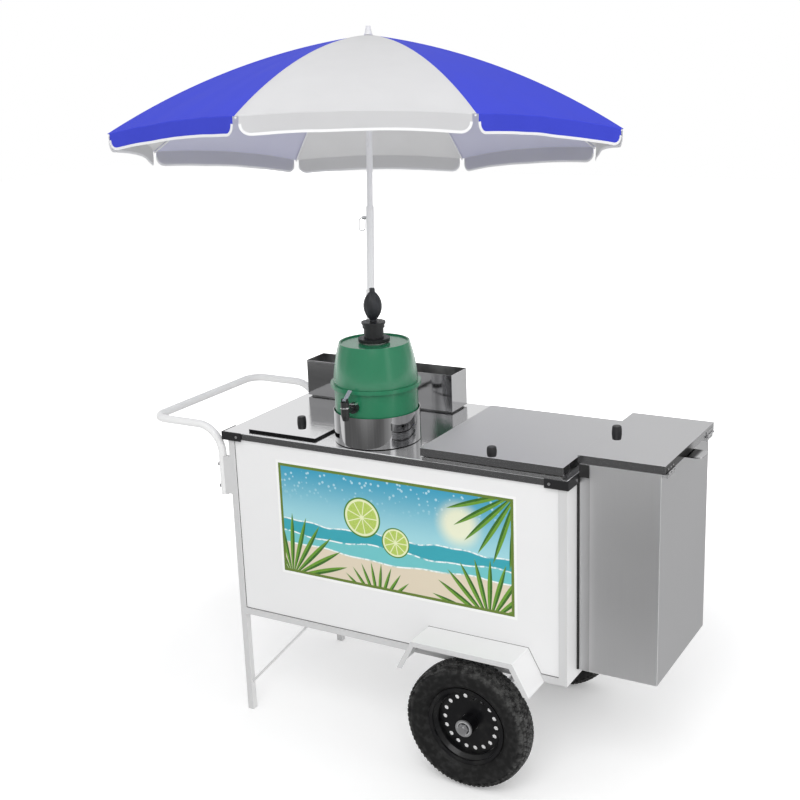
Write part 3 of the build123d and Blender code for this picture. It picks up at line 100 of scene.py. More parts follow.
turn, tilt, tip = (math.radians(angle) for angle in CAMERA_ANGLES)
ahead = Vector((-math.sin(turn) * math.cos(tilt), math.cos(turn) * math.cos(tilt), -math.sin(tilt)))
level = Vector((math.cos(turn), math.sin(turn), 0))
below = ahead.cross(level)
aside = level * math.cos(tip) + below * math.sin(tip)
above = level * math.sin(tip) - below * math.cos(tip)
camera = bpy.data.objects.new("camera", bpy.data.cameras.new("camera"))
camera.data.lens = CAMERA_LENS
camera.data.sensor_width = CAMERA_SENSOR
camera.matrix_world = Matrix((aside, above, -ahead)).transposed().to_4x4()
camera.location = CAMERA_PLACE
bpy.context.scene.collection.objects.link(camera)
bpy.context.scene.camera = camera


# Welded frame of square steel tube: four posts, two of which run on to the ground as legs,
# rails between them and a thin brace on each leg. Powder coated white after welding; the
# faces that do not look to either end get a greyer copy of the coat as painted shade.
class Shade:
    """A socket of a finish, on which sums are written."""

    def __init__(self, socket):
        self.socket = socket

    def node(self, kind, settings, sockets, output=0):
        """Adds a node, with its settings first and then the values or links of its sockets."""
        tree = self.socket.id_data
        made = tree.nodes.new(kind)
        for name, value in settings.items():
            setattr(made, name, value)
        for key, value in sockets.items():
            if isinstance(value, Shade):
                tree.links.new(value.socket, made.inputs[key])
            else:
                made.inputs[key].default_value = value
        return Shade(made.outputs[output])

    def to(self, shader, name):
        self.socket.id_data.links.new(self.socket, shader.inputs[name])

    def maths(self, operation, *others):
        return self.node("ShaderNodeMath", {"operation": operation}, dict(enumerate((self, *others))))

    def __add__(self, other):
        return self.maths("ADD", other)

    def __sub__(self, other):
        return self.maths("SUBTRACT", other)

    def __rsub__(self, other):
        return (self * -1.0) + other

    def __mul__(self, other):
        return self.maths("MULTIPLY", other)

    def __truediv__(self, other):
        return self.maths("DIVIDE", other)

    def __pow__(self, other):
        return self.maths("POWER", other)

    def __lt__(self, other):
        return self.maths("LESS_THAN", other)

    def __gt__(self, other):
        return self.maths("GREATER_THAN", other)

    def __abs__(self):
        return self.maths("ABSOLUTE")

    __radd__ = __add__
    __rmul__ = __mul__

    def xyz(self):
        """The three numbers of a place."""
        parts = self.node("ShaderNodeSeparateXYZ", {}, {"Vector": self})
        return [Shade(output) for output in parts.socket.node.outputs]

    def hypot(self, other):
        """How far off a point is, from how far it is along two axes."""
        return (self * self + other * other).maths("SQRT")

    def smooth(self, low, high):
        """0 below low, 1 above high and an even curve between."""
        settings = {"interpolation_type": "SMOOTHSTEP"}
        return self.node("ShaderNodeMapRange", settings, {"Value": self, "From Min": low, "From Max": high})

    def mix(self, first, second):
        """The first colour where this is 0 and the second where it is 1."""
        return self.node("ShaderNodeMix", {"data_type": "RGBA"}, {0: self, 6: first, 7: second}, 2)

    def tint(self, shader, first, second):
        self.mix(first, second).to(shader, "Base Color")

    def rough(self, shader, gain, least):
        (self * gain + least).to(shader, "Roughness")

    def noise(self, scale, detail=2.0, stretch=(1, 1, 1)):
        """Noise of that many lumps to the metre, on this place."""
        place = self.node("ShaderNodeMapping", {}, {"Vector": self, "Scale": stretch})
        return self.node("ShaderNodeTexNoise", {}, {"Vector": place, "Scale": scale, "Detail": detail})

    def bump(self, shader, depth, strength=1.0):
        height = self.node("ShaderNodeBump", {}, {"Height": self, "Distance": depth, "Strength": strength})
        height.to(shader, "Normal")


def grey(tone):
    return (tone, tone, tone, 1)


def finish(name, **sockets):
    """A material, its shader with its fixed values, and the place on it."""
    material = bpy.data.materials.new(name)
    material.use_nodes = True
    shader = material.node_tree.nodes["Principled BSDF"]
    for socket, value in sockets.items():
        shader.inputs[socket.replace("_", " ")].default_value = value
    place = material.node_tree.nodes.new("ShaderNodeTexCoord").outputs["Object"]
    return material, shader, Shade(place)


def coat(material, *names):
    """Puts a finish on CAD nodes that keep their own shape."""
    for name in names:
        slots = frame["nodes"][name].data.materials
        slots.clear()
        slots.append(material)


SHARP_ANGLE = math.radians(35)


def keep(bm, name, *materials):
    """The finished mesh as an object of the scene, smooth but for its sharp edges."""
    mesh = bpy.data.meshes.new(name)
    bm.to_mesh(mesh)
    bm.free()
    custom = mesh.attributes.get("custom_normal")
    if custom:
        mesh.attributes.remove(custom)
    mesh.shade_smooth()
    mesh.set_sharp_from_angle(angle=SHARP_ANGLE)
    for material in materials:
        mesh.materials.append(material)
    made = bpy.data.objects.new(name, mesh)
    bpy.context.scene.collection.objects.link(made)
    return made


def stand_for(made, node):
    """The made piece takes a CAD node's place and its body."""
    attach(made, frame["nodes"][node]["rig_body"])
    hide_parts(node)
    return made


def settle(made):
    """The object's mesh as its modifiers leave it, without the modifiers."""
    seen = made.evaluated_get(bpy.context.evaluated_depsgraph_get())
    mesh = bpy.data.meshes.new_from_object(seen)
    made.modifiers.clear()
    made.data = mesh
    return made


MERGE_DISTANCE = 1e-5
FLAT_ANGLE = math.radians(1)  # faces that turn less than this are one face
CORNER_ANGLE = math.radians(50)  # the least turn of an edge that is rounded
CORNER_ROOM = 2.2  # the least width of the faces beside it, in radii


def eased(node, radius, material, steps=3, others=()):
    """A CAD node with its long outer edges rounded, as a bend or a die leaves them.

    Each of the other finishes comes with a test of the faces that it goes on.
    """
    bm = bmesh.new()
    bm.from_mesh(frame["nodes"][node].data)
    bmesh.ops.remove_doubles(bm, verts=bm.verts, dist=MERGE_DISTANCE)
    bmesh.ops.dissolve_limit(bm, angle_limit=FLAT_ANGLE, verts=bm.verts, edges=bm.edges)
    width = {f: f.calc_area() / max(e.calc_length() for e in f.edges) for f in bm.faces}
    outer = [
        e
        for e in bm.edges
        if len(e.link_faces) == 2
        and e.is_convex
        and e.calc_face_angle() > CORNER_ANGLE
        and min(width[f] for f in e.link_faces) > CORNER_ROOM * radius
    ]
    bmesh.ops.bevel(
        bm, geom=outer, offset=radius, segments=steps, profile=0.5, affect="EDGES", clamp_overlap=True
    )
    for face in bm.faces:
        for index, (_, test) in enumerate(others, 1):
            if test(face):
                face.material_index = index
    made = keep(bm, node + "_eased", material, *(other for other, _ in others))
    flats = made.modifiers.new("flats", "WEIGHTED_NORMAL")
    flats.keep_sharp = True
    return stand_for(settle(made), node)


def paint(name, dull, clean):
    """Powder coat with a fine orange peel, a little greyer in clouds."""
    material, shader, place = finish(name)
    cloud = place.noise(3.0, 4)
    (cloud * 0.5 + 0.25).tint(shader, dull, clean)
    cloud.rough(shader, 0.15, 0.28)
    place.noise(700, 2).bump(shader, 0.00006)
    return material


def endways(face):
    """Whether a face looks along the cart, to one end or the other."""
    return abs(face.normal.x) > 0.5


TUBE_CORNER = 0.0018
# A greyer copy of the white coat: painted shade on the frame's faces that do not look to an end, and on the
# fenders' front and back lips.
shaded_white_coat = paint("shaded_white_coat", grey(0.58), (0.66, 0.66, 0.665, 1))
white_paint = paint("white_paint", grey(0.80), grey(0.86))
eased("frame", TUBE_CORNER, shaded_white_coat, others=[(white_paint, endways)])

# Cladding of white coated sheet between the posts: front, back and two ends, riveted from
# behind, and a floor sheet below. Faint waves show where the thin sheet is pulled flat, and a
# thin black line of painted shade, for the shadow in the gap, runs down the posts and along
# the foot of the front and back.
white_sheet, shader, place = finish("white_sheet")
cloud = place.noise(1.6, 3)
(cloud * 0.6 + 0.2).tint(shader, grey(0.80), (0.85, 0.85, 0.855, 1))
cloud.rough(shader, 0.12, 0.30)
(place.noise(4, 1) + place.noise(900, 2) * 0.02).bump(shader, 0.0015, 0.5)
coat(white_sheet, "front_panel", "back_panel", "end_panels", "floor_panel")

# Black for the thin lines of painted shade in the gaps round the panels, the fenders and the bin, and for
# the pad on the bin.
black_shade_and_pad, shader, place = finish("black_shade_and_pad", Roughness=0.7)
place.noise(40, 2).tint(shader, grey(0.010), grey(0.030))
SHADE_LINE_WIDTH = 0.0016
SHADE_LINE_HEIGHT = 0.0006
SHADE_LINE_PAST_FENDER = 0.012  # how far it runs on above a fender's ends


def shade_line(bm, panel, places):
    """A thin black line of painted shade through places on the outside of a panel, each an x and a z."""
    low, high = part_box(panel)
    y = low[1] if panel == "front_panel" else high[1]
    for (x0, z0), (x1, z1) in zip(places, places[1:]):
        first, second = Vector((x0, y, z0)), Vector((x1, y, z1))
        along = (second - first).normalized()
        turned = Matrix((along, (0, 1, 0), along.cross(Vector((0, 1, 0))))).transposed().to_4x4()
        size = Matrix.Diagonal(((second - first).length, 2 * SHADE_LINE_HEIGHT, SHADE_LINE_WIDTH, 1))
        place = Matrix.Translation((first + second) / 2) @ turned @ size
        bmesh.ops.create_cube(bm, size=1.0, matrix=place)


bm = bmesh.new()
for panel in ("front_panel", "back_panel"):
    (left, _, low), (right, _, high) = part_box(panel)
    left, right, low = left + SHADE_LINE_WIDTH / 2, right - SHADE_LINE_WIDTH / 2, low + SHADE_LINE_WIDTH / 2
    fender_left, fender_right = (corner[0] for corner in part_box("fenders"))
    shade_line(bm, panel, ((left, high), (left, low), (fender_left + SHADE_LINE_PAST_FENDER, low)))
    shade_line(bm, panel, ((right, high), (right, low), (fender_right - SHADE_LINE_PAST_FENDER, low)))
panel_seals = keep(bm, "panel_seals", black_shade_and_pad)
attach(panel_seals, frame["nodes"]["front_panel"]["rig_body"])

# Print stuck to the front panel, a vinyl sheet with a green edge inside a white margin. Its
# picture is a plain one of sky with drops on it, a lagoon, palm fans and slices of lime.
PRINT_SIZE = (0.767, 0.345)
PRINT_LEFT = 0.156  # from the left edge of the panel
PRINT_LOW = 0.511  # above the ground
PRINT_MARGIN = 0.008
PRINT_EDGE = 0.0085
VINYL = 0.0003


def slab(bm, low, high):
    """A flat block between two corners."""
    low, high = Vector(low), Vector(high)
    size = Matrix.Diagonal((*(high - low), 1))
    bmesh.ops.create_cube(bm, size=1.0, matrix=Matrix.Translation((low + high) / 2) @ size)


panel_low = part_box("front_panel")[0]
print_low = Vector((panel_low[0] + PRINT_LEFT, panel_low[1] - VINYL, PRINT_LOW))
print_high = print_low + Vector((PRINT_SIZE[0], VINYL, PRINT_SIZE[1]))
margin = Vector((PRINT_MARGIN, 0, PRINT_MARGIN))
bm = bmesh.new()
slab(bm, print_low - margin, print_high + margin)

vinyl, shader, place = finish("vinyl", Coat_Weight=0.3, Coat_Roughness=0.1)
corner = (-print_low.x, 0, -print_low.z)
sheet = place.node("ShaderNodeMapping", {}, {"Vector": place, "Location": corner})
across, _, above_edge = sheet.xyz()


def polar(middle):
    """How far a point of the picture is from a middle, and its turn about it in radians."""
    x, y = across - middle[0], above_edge - middle[1]
    return x.hypot(y), y.maths("ARCTAN2", x)


def shore(picture, level, waves, colour):
    """Lays water or sand over the lower part of the picture, up to a waving line of foam."""
    line = above_edge - level
    for height, pace, start in waves:
        line = line - (across * pace + start).maths("SINE") * height
    picture = line.smooth(0.004, -0.004).mix(picture, colour)
    foam = abs(line).smooth(0.0034, 0.0010) * sheet.noise(70, 2).smooth(0.30, 0.55)
    return foam.mix(picture, (0.90, 0.94, 0.92, 1))


def fan(picture, middle, reach, blades, turn):
    """Lays a palm fan over the picture: pointed blades about a middle, each folded on its rib."""
    far, angle = polar(middle)
    across_blade = (angle * (blades / math.tau) + turn).maths("FRACT") - 0.5
    half_blade = 0.44 - (far / reach) ** 1.7 * 0.44
    blade = (half_blade - abs(across_blade)).smooth(0.0, 0.02)
    fold = across_blade.smooth(-0.03, 0.03) * 0.7 + sheet.noise(60, 3) * 0.5 - 0.1
    green = fold.mix((0.020, 0.115, 0.012, 1), (0.165, 0.375, 0.030, 1))
    vein = (abs(across_blade) * far).smooth(0.0011, 0.0004) * 0.7
    return blade.mix(picture, vein.mix(green, (0.42, 0.58, 0.16, 1)))


def lime(picture, middle, reach):
    """Lays a slice of lime over the picture: skin, pith and nine segments."""
    far, angle = polar(middle)
    share = far / reach
    in_segment = abs((angle * (9 / math.tau)).maths("FRACT") - 0.5)
    wall = ((0.5 - in_segment) * far).smooth(0.0012, 0.0032)
    flesh = wall * share.smooth(0.82, 0.78) * share.smooth(0.07, 0.13)
    pulp = sheet.noise(240, 2).mix((0.30, 0.47, 0.035, 1), (0.62, 0.74, 0.20, 1))
    slice_face = flesh.mix((0.80, 0.85, 0.52, 1), pulp)
    slice_face = share.smooth(0.90, 0.93).mix(slice_face, (0.075, 0.235, 0.012, 1))
    return share.smooth(1.0, 0.985).mix(picture, slice_face)


SUN = (0.600, 0.245)
SUN_GLOW = (0.085, 0.030)  # radii where the glow ends and where it is full
SHORES = (  # level, waves of a height, pace and start, and colour
    (0.168, ((0.004, 24.0, 0.4), (0.002, 61.0, 1.0)), (0.035, 0.380, 0.460, 1)),
    (0.128, ((0.006, 17.0, 2.0), (0.002, 47.0, 0.0)), (0.160, 0.560, 0.580, 1)),
    (0.090, ((0.007, 11.0, 0.7), (0.002, 39.0, 2.0)), (0.740, 0.650, 0.500, 1)),
)
FANS = (  # middle, reach, blades and how far they are turned
    ((0.030, -0.015), 0.210, 26, 0.2),
    ((0.780, 0.365), 0.235, 28, 0.0),
    ((0.690, -0.030), 0.190, 24, 0.6),
    ((0.330, -0.060), 0.145, 26, 0.4),
)
LIMES = (((0.285, 0.215), 0.062), ((0.395, 0.155), 0.046))  # middle and reach

picture = above_edge.smooth(0.36, 0.15).mix((0.030, 0.325, 0.500, 1), (0.360, 0.680, 0.740, 1))
drop = place.node("ShaderNodeTexVoronoi", {}, {"Vector": sheet, "Scale": 62.0})
drops = drop.smooth(0.30, 0.20) * above_edge.smooth(0.22, 0.33) * 0.55
picture = drops.mix(picture, (0.70, 0.90, 0.94, 1))
from_sun, _ = polar(SUN)
picture = (from_sun.smooth(*SUN_GLOW) * 0.75).mix(picture, (1.0, 0.93, 0.62, 1))
for lay, rows in ((shore, SHORES), (fan, FANS), (lime, LIMES)):
    for row in rows:
        picture = lay(picture, *row)
inside = across.maths("MINIMUM", PRINT_SIZE[0] - across)
inside = inside.maths("MINIMUM", above_edge.maths("MINIMUM", PRINT_SIZE[1] - above_edge))
picture = (inside < PRINT_EDGE).mix(picture, (0.135, 0.215, 0.030, 1))
picture = (inside < 0.0).mix(picture, (0.92, 0.92, 0.91, 1))
picture.to(shader, "Base Color")
sheet.noise(8, 3).rough(shader, 0.12, 0.26)
(sheet.noise(5, 1) + sheet.noise(800, 2) * 0.02).bump(shader, 0.0012, 0.4)
front_print = keep(bm, "front_print", vinyl)
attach(front_print, frame["nodes"]["front_panel"]["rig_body"])

# Worktop of stainless sheet folded down all round, brushed along the cart, with the hatch,
# the ice box and the keg ring let into it. The fold is the dark bright-edged strip in front:
# its faces are darkened with painted shade and its bends lightened with a painted highlight.
def steel(name, grain, colour, rough, streak=0.05, dull=0.9, shaded=None):
    """Rolled stainless sheet with its grain along one direction, and darker with painted shade where the
    shaded mask says.
    """
    material, shader, place = finish(name, Metallic=1.0)
    lines = place.noise(1.0, 3, grain)
    haze = place.noise(2.4, 3)
    tone = (lines * 0.6 + haze * 0.4).mix(tuple(c * dull for c in colour[:3]) + (1,), colour)
    if shaded:
        tone = shaded(place).mix(tone, grey(0))
    tone.to(shader, "Base Color")
    (rough + (lines - 0.5) * streak + (haze - 0.5) * 0.08).to(shader, "Roughness")
    (lines * 0.6 + place.noise(7, 1) * 0.8).bump(shader, 0.00025, 0.6)
    return material


def upright(face):
    """Whether a face stands up, as a fold does."""
    return abs(face.normal.z) < 0.5


def bent(face):
    """Whether a face is part of the bend between the top of a sheet and its fold."""
    return 0.2 < face.normal.z < 0.97


SHEET_BEND = 0.0022
top_steel = steel("top_steel", (6, 900, 900), (0.76, 0.76, 0.77, 1), 0.10)
# A darker copy of the steel on the folds as painted shade, and a paler, rougher copy on the bends as a
# painted highlight.
shaded_fold_steel = steel("shaded_fold_steel", (40, 40, 400), (0.50, 0.50, 0.51, 1), 0.12)
highlit_bend_steel = steel("highlit_bend_steel", (40, 40, 40), (0.95, 0.95, 0.96, 1), 0.42)
folds = [(shaded_fold_steel, upright), (highlit_bend_steel, bent)]
eased("worktop", SHEET_BEND, top_steel, others=folds)

# Corner guards moulded in black plastic, one over each corner of the worktop, each held
# by a dome-headed screw in front.
GUARD_EDGE = 0.0011
black_plastic, shader, place = finish("black_plastic")
grain = place.noise(1500, 2)
place.noise(9, 3).tint(shader, (0.006, 0.006, 0.007, 1), (0.014, 0.014, 0.016, 1))
grain.rough(shader, 0.2, 0.32)
grain.bump(shader, 0.0001, 0.5)
eased("corner_guards", GUARD_EDGE, black_plastic)

zinc, shader, place = finish("zinc", Metallic=1.0)
spangle = place.noise(260, 3)
spangle.tint(shader, (0.42, 0.42, 0.43, 1), (0.70, 0.70, 0.71, 1))
spangle.rough(shader, 0.25, 0.22)
spangle.bump(shader, 0.0001, 0.4)
coat(zinc, "fasteners", "bin_brackets")

# Ice tub of stainless sheet hung in the body, with slabs of white foam between it and the
# cladding and one more slab in the lid above it.
tub_steel = steel("tub_steel", (900, 900, 6), (0.62, 0.62, 0.63, 1), 0.24)
coat(tub_steel, "ice_tub")
foam, shader, place = finish("foam", Roughness=0.9)
bead = place.node("ShaderNodeTexVoronoi", {}, {"Vector": place, "Scale": 260.0})
bead.smooth(0.0, 0.6).tint(shader, (0.78, 0.77, 0.72, 1), (0.90, 0.89, 0.84, 1))
bead.bump(shader, 0.0008)
coat(foam, "tub_insulation", "ice_lid_foam")

# Straw tray, a long open box folded from polished stainless on a plinth at the back of the
# worktop. Its walls mirror the worktop and the dark side of the yard; its ends are paler as a
# painted highlight and its inside carries dark swirls as painted reflections.
TRAY_BEND = 0.0005
TRAY_WALL = 0.0008  # faces further in than this are the tray's inside
mirror_steel = steel("mirror_steel", (3, 40, 40), (0.64, 0.64, 0.65, 1), 0.07, 0.02, 0.7)
# A paler copy on the tray's ends as a painted highlight, and dark swirls painted on its inside as
# reflections.
highlit_end_steel = steel("highlit_end_steel", (3, 40, 40), (0.86, 0.86, 0.87, 1), 0.10, 0.02)
tray_inside_reflections, shader, place = finish("tray_inside_reflections", Metallic=0.6)
painted_swirl = place.noise(9, 4)
painted_swirl.smooth(0.35, 0.7).tint(shader, grey(0.10), grey(0.42))
painted_swirl.rough(shader, 0.2, 0.2)
painted_swirl.bump(shader, 0.002, 0.5)
tray_low, tray_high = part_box("straw_tray")


def in_tray(face):
    """Whether a face is on the inside of the tray."""
    middle = face.calc_center_median()
    return all(a + TRAY_WALL < m < b - TRAY_WALL for a, m, b in zip(tray_low, middle, tray_high))


tray_sides = [(highlit_end_steel, endways), (tray_inside_reflections, in_tray)]
eased("straw_tray", TRAY_BEND, mirror_steel, 2, tray_sides)

# Keg ring, a hoop of polished stainless rolled from sheet, and the umbrella socket, a tube
# welded to a plate behind it. The ring's vertical grain is drawn in strong light and dark
# bands, partly grain and partly painted reflection, with a line of painted shadow at its foot.
RING_SHADOW = 0.002  # height of the painted shadow line at its foot
ring_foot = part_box("keg_ring")[0][2]


def in_foot_shadow(place):
    """1 on the line of painted shadow where the ring stands on the worktop."""
    return place.xyz()[2] < ring_foot + RING_SHADOW


# Strong light and dark bands in the grain, partly grain and partly painted reflection.
ring_steel = steel("ring_steel", (90, 90, 1.5), (0.84, 0.84, 0.85, 1), 0.06, 0.02, 0.4, in_foot_shadow)
coat(ring_steel, "keg_ring")
coat(white_paint, "umbrella_socket")

# Bin folded from satin stainless and hung on the cart's right end by brackets, with a flat
# lid on two butt hinges and a bent tab to lift it from the outside. A black strip of painted
# shade fills the gap between it and the cart, with a black pad on the bin at its upper end.
# Painted shade darkens the bin's strip beside the cart and its end, and the tab and the side
# of the lid carry a painted dark reflection.
SCREW_HEAD = 0.0024  # radius
SCREW_EDGE = 0.0004
SCREW_STEP = 0.020
HINGE_INSET = 0.042  # from each end of the lid to the middle of a hinge
LID_BEND = 0.0016
SHADE_STRIP = 0.030  # width of the strip of painted shade on the bin beside the cart
TAB_LAP = 0.004  # how far the tab starts within the lid's edge
TAB_DARK = (0.010, 0.022)  # from the lid's edge, where the painted dark reflection on the tab fades out
SIDE_DARK = (0.18, 0.24)  # from the bin's front, where the painted dark reflection on the side of the lid fades out
STRIP_CLEARANCE = 0.0002
STRIP_PROUD = 0.0015
STRIP_DEPTH = 0.0110
STRIP_LIFT = 0.002
STRIP_RISE = 0.020  # past the upper end of the brackets
PAD_LEFT = 0.0008  # how far the pad's two sides are from the bin's left edge
PAD_RIGHT = 0.028
PAD_PROUD = 0.0020
PAD_TOP = 0.001  # how far its two ends are below the lid
PAD_FOOT = 0.036


def dark_reflection_sheet(name, axis, start, end, screws=()):
    """Polished sheet with a painted reflection of something dark up to a place along one axis.

    The screws are places on it, each a y and a z, that show as small bright heads.
    """
    material, shader, place = finish(name, Metallic=1.0, Roughness=0.2)
    where = place.xyz()
    tone = where[axis].smooth(start, end).mix((0.025, 0.025, 0.026, 1), (0.52, 0.52, 0.53, 1))
    for y, z in screws:
        head = (where[1] - y).hypot(where[2] - z).smooth(SCREW_HEAD, SCREW_HEAD - SCREW_EDGE)
        tone = head.mix(tone, (0.85, 0.85, 0.86, 1))
    tone.to(shader, "Base Color")
    place.noise(300, 2).bump(shader, 0.0001, 0.5)
    return material


bin_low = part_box("bin_body")[0]
lid_low, lid_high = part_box("bin_lid")


def shade_beside_cart(place):
    """How much painted shade darkens the bin on the strip beside the cart."""
    return (place.xyz()[0] < bin_low[0] + SHADE_STRIP) * 0.3


bin_steel = steel("bin_steel", (700, 700, 4), (0.96, 0.96, 0.97, 1), 0.34, shaded=shade_beside_cart)
# A darker copy of the bin's steel on its end, as painted shade.
shaded_bin_end_steel = steel("shaded_bin_end_steel", (700, 700, 4), (0.66, 0.66, 0.67, 1), 0.38)
lid_steel = steel("lid_steel", (5, 800, 800), (0.62, 0.62, 0.63, 1), 0.38)
tab_dark_reflection = dark_reflection_sheet("tab_dark_reflection", 0, *(lid_high[0] + far for far in TAB_DARK))
bin_sides = [
    (shaded_bin_end_steel, lambda face: face.normal.x > 0.5),
    (tab_dark_reflection, lambda face: face.calc_center_median().x > lid_high[0] - TAB_LAP),
]
eased("bin_body", SHEET_BEND, bin_steel, others=bin_sides)
screws = []
for middle in (lid_low[1] + HINGE_INSET, lid_high[1] - HINGE_INSET):
    for step in (-1, 0, 1):
        screws.append((middle + step * SCREW_STEP, (lid_low[2] + lid_high[2]) / 2))
lid_side_dark_reflection = dark_reflection_sheet("lid_side_dark_reflection", 1, *(bin_low[1] + far for far in SIDE_DARK), screws)
lid_sides = [*folds, (lid_side_dark_reflection, lambda face: face.normal.x > 0.8)]
eased("bin_lid", LID_BEND, lid_steel, others=lid_sides)
cart_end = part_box("frame")[1][0]
strip_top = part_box("bin_brackets")[1][2] + STRIP_RISE
# A black strip of painted shade in the gap between the bin and the cart, and the black pad above it.
bm = bmesh.new()
slab(
    bm,
    (cart_end + STRIP_CLEARANCE, bin_low[1] - STRIP_PROUD, bin_low[2] + STRIP_LIFT),
    (bin_low[0] - STRIP_CLEARANCE, bin_low[1] + STRIP_DEPTH, strip_top),
)
slab(
    bm,
    (bin_low[0] + PAD_LEFT, bin_low[1] - PAD_PROUD, lid_low[2] - PAD_FOOT),
    (bin_low[0] + PAD_RIGHT, bin_low[1] - STRIP_CLEARANCE, lid_low[2] - PAD_TOP),
)
bin_seal = keep(bm, "bin_seal", black_shade_and_pad)
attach(bin_seal, frame["nodes"]["bin_body"]["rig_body"])
hinge_steel = steel("hinge_steel", (60, 60, 60), (0.62, 0.62, 0.63, 1), 0.20)
coat(hinge_steel, "lid_hinges")

# Hatch lid over the store at the left and the deeper lid of the ice box, both folded from
# stainless with their corners closed. Each of the three lids has a turned black knob. The
# hatch lid's fold is near black as painted shade, and the ice lid's folds and bends carry the
# worktop's painted shade and highlight.
# Near-black steel on the hatch lid's fold, as painted shade.
hatch_fold_shade = steel("hatch_fold_shade", (40, 40, 400), (0.026, 0.026, 0.027, 1), 0.20)
eased("hatch_lid", LID_BEND, top_steel, others=[(hatch_fold_shade, upright)])
eased("ice_lid", LID_BEND, lid_steel, others=folds)
for knob in ("hatch_knob", "ice_knob", "bin_knob"):
    coat(black_plastic, knob)
    frame["nodes"][knob].visible_glossy = False

# Push handle, one tube bent to a bow and bolted to the two left posts, with the same white
# coat as the umbrella's socket.
coat(white_paint, "handle")

# Fenders folded from white coated sheet over each wheel, their front and back lips greyer as
# painted shade and a black line of painted shade round them on the side, and the steel axle
# under the floor with its bearings, each a bright ring with a dark shield.
FENDER_BEND = 0.0018
FENDER_TOP = 0.312  # length of its level top
# The fenders' front and back lips take the greyer coat as painted shade.
lips = [(shaded_white_coat, lambda face: abs(face.normal.y) > 0.5)]
eased("fenders", FENDER_BEND, white_sheet, others=lips)
(left, _, foot), (right, _, high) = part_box("fenders")
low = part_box("front_panel")[0][2]
slope = (right - left - FENDER_TOP) / 2 / (high - foot)
fender_line = []
for side, z in ((-1, low), (-1, high), (1, high), (1, low)):
    fender_line.append(((left + right) / 2 + side * (FENDER_TOP / 2 + (high - z) * slope), z))
# Black lines of painted shade round each fender on the front and back panels.
bm = bmesh.new()
for panel in ("front_panel", "back_panel"):
    shade_line(bm, panel, fender_line)
fender_seals = keep(bm, "fender_seals", black_shade_and_pad)
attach(fender_seals, frame["nodes"]["fenders"]["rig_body"])
axle_steel = steel("axle_steel", (300, 5, 300), (0.52, 0.52, 0.53, 1), 0.35)
coat(axle_steel, "axle")

SHIELD_INNER = 0.0131
SHIELD_OUTER = 0.0173
SHIELD_EDGE = 0.0003


def joint(name):
    """The row of a joint in the frame."""
    return next(j for j in frame["joints"] if j["name"] == name)


def from_axle(place):
    """How far a place is from the line of the axle."""
    axle_x, _, axle_z = joint("front_wheel_spin")["pos_m"]
    x, _, z = place.xyz()
    return (x - axle_x).hypot(z - axle_z)


bearing_steel, shader, place = finish("bearing_steel", Metallic=0.6)
radius = from_axle(place)
shield = radius.smooth(SHIELD_INNER - SHIELD_EDGE, SHIELD_INNER + SHIELD_EDGE)
shield = shield * radius.smooth(SHIELD_OUTER + SHIELD_EDGE, SHIELD_OUTER - SHIELD_EDGE)
shield.tint(shader, (0.62, 0.62, 0.63, 1), (0.035, 0.035, 0.036, 1))
(shield * 0.25 + place.noise(300, 3) * 0.12 + 0.18).to(shader, "Roughness")
place.noise(500, 2).bump(shader, 0.00008, 0.5)
coat(bearing_steel, "axle_bearings")

# Wheels: black pressed rims with a ring of holes and a turned steel hub, in block-tread tyres.
# A tyre is a turned casing with rows of small tread blocks set round it, the outer ones leaning
# over its edge.
HUB_RADIUS = 0.0255
HUB_CLEARANCE = 0.0005
HUB_BRIGHT = 0.005  # how far in from its ends the hub is turned bright
rim_black, shader, place = finish(
    "rim_black", Coat_Weight=0.2, Coat_Roughness=0.15, Specular_IOR_Level=0.2
)
dust = place.noise(24, 4)
tone = dust.smooth(0.45, 0.8).mix((0.005, 0.005, 0.006, 1), (0.020, 0.020, 0.019, 1))
front_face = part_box("front_rim")[0][1]
back_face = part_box("back_rim")[1][1]
from_middle = abs(place.xyz()[1] - (front_face + back_face) / 2)
at_end = from_middle > (back_face - front_face) / 2 - HUB_BRIGHT
bright = (from_axle(place) < HUB_RADIUS + HUB_CLEARANCE) * at_end
bright.tint(shader, tone, (0.60, 0.60, 0.61, 1))
bright.to(shader, "Metallic")
dust.rough(shader, 0.25, 0.24)
place.noise(500, 2).bump(shader, 0.00008, 0.5)
coat(rim_black, "front_rim", "back_rim")

TREAD_PALING = (0.160, 0.183)  # radii where the tyre begins to grow paler and where it is palest
rubber, shader, place = finish("rubber", Specular_IOR_Level=0.25)
toward_tread = from_axle(place).smooth(*TREAD_PALING)
scuff = place.noise(60, 4)
# The tyre is paler towards the tread.
clean = scuff.smooth(0.4, 0.75).mix(grey(0.008), grey(0.024))
paler_tone = scuff.smooth(0.35, 0.7).mix(grey(0.018), (0.085, 0.085, 0.083, 1))
toward_tread.tint(shader, clean, paler_tone)
scuff.rough(shader, 0.3, 0.46)
place.noise(420, 3).bump(shader, 0.0004, 0.7)

TYRE_LINE = (  # radius and half width, from the bead to the middle of the tread
    (0.1155, 0.0205),
    (0.1180, 0.0250),
    (0.1210, 0.0294),
    (0.1250, 0.0334),
    (0.1280, 0.0366),
    (0.1310, 0.0370),
    (0.1420, 0.0422),
    (0.1540, 0.0436),
    (0.1640, 0.0420),
    (0.1720, 0.0388),
    (0.1765, 0.0354),
    (0.1790, 0.0310),
    (0.1829, 0.0210),
    (0.1852, 0.0105),
    (0.1860, 0.0),
)
TYRE_STEPS = 120
TREAD_RADIUS = 0.1858  # to the middle of a block
TREAD_ROWS = 8
BLOCK_SIZE = (0.0040, 0.0098, 0.0138)  # height, across the tread and along it
BLOCK_TAPER = 0.78
BLOCK_BEVEL = 0.09  # as a share of a block's sides

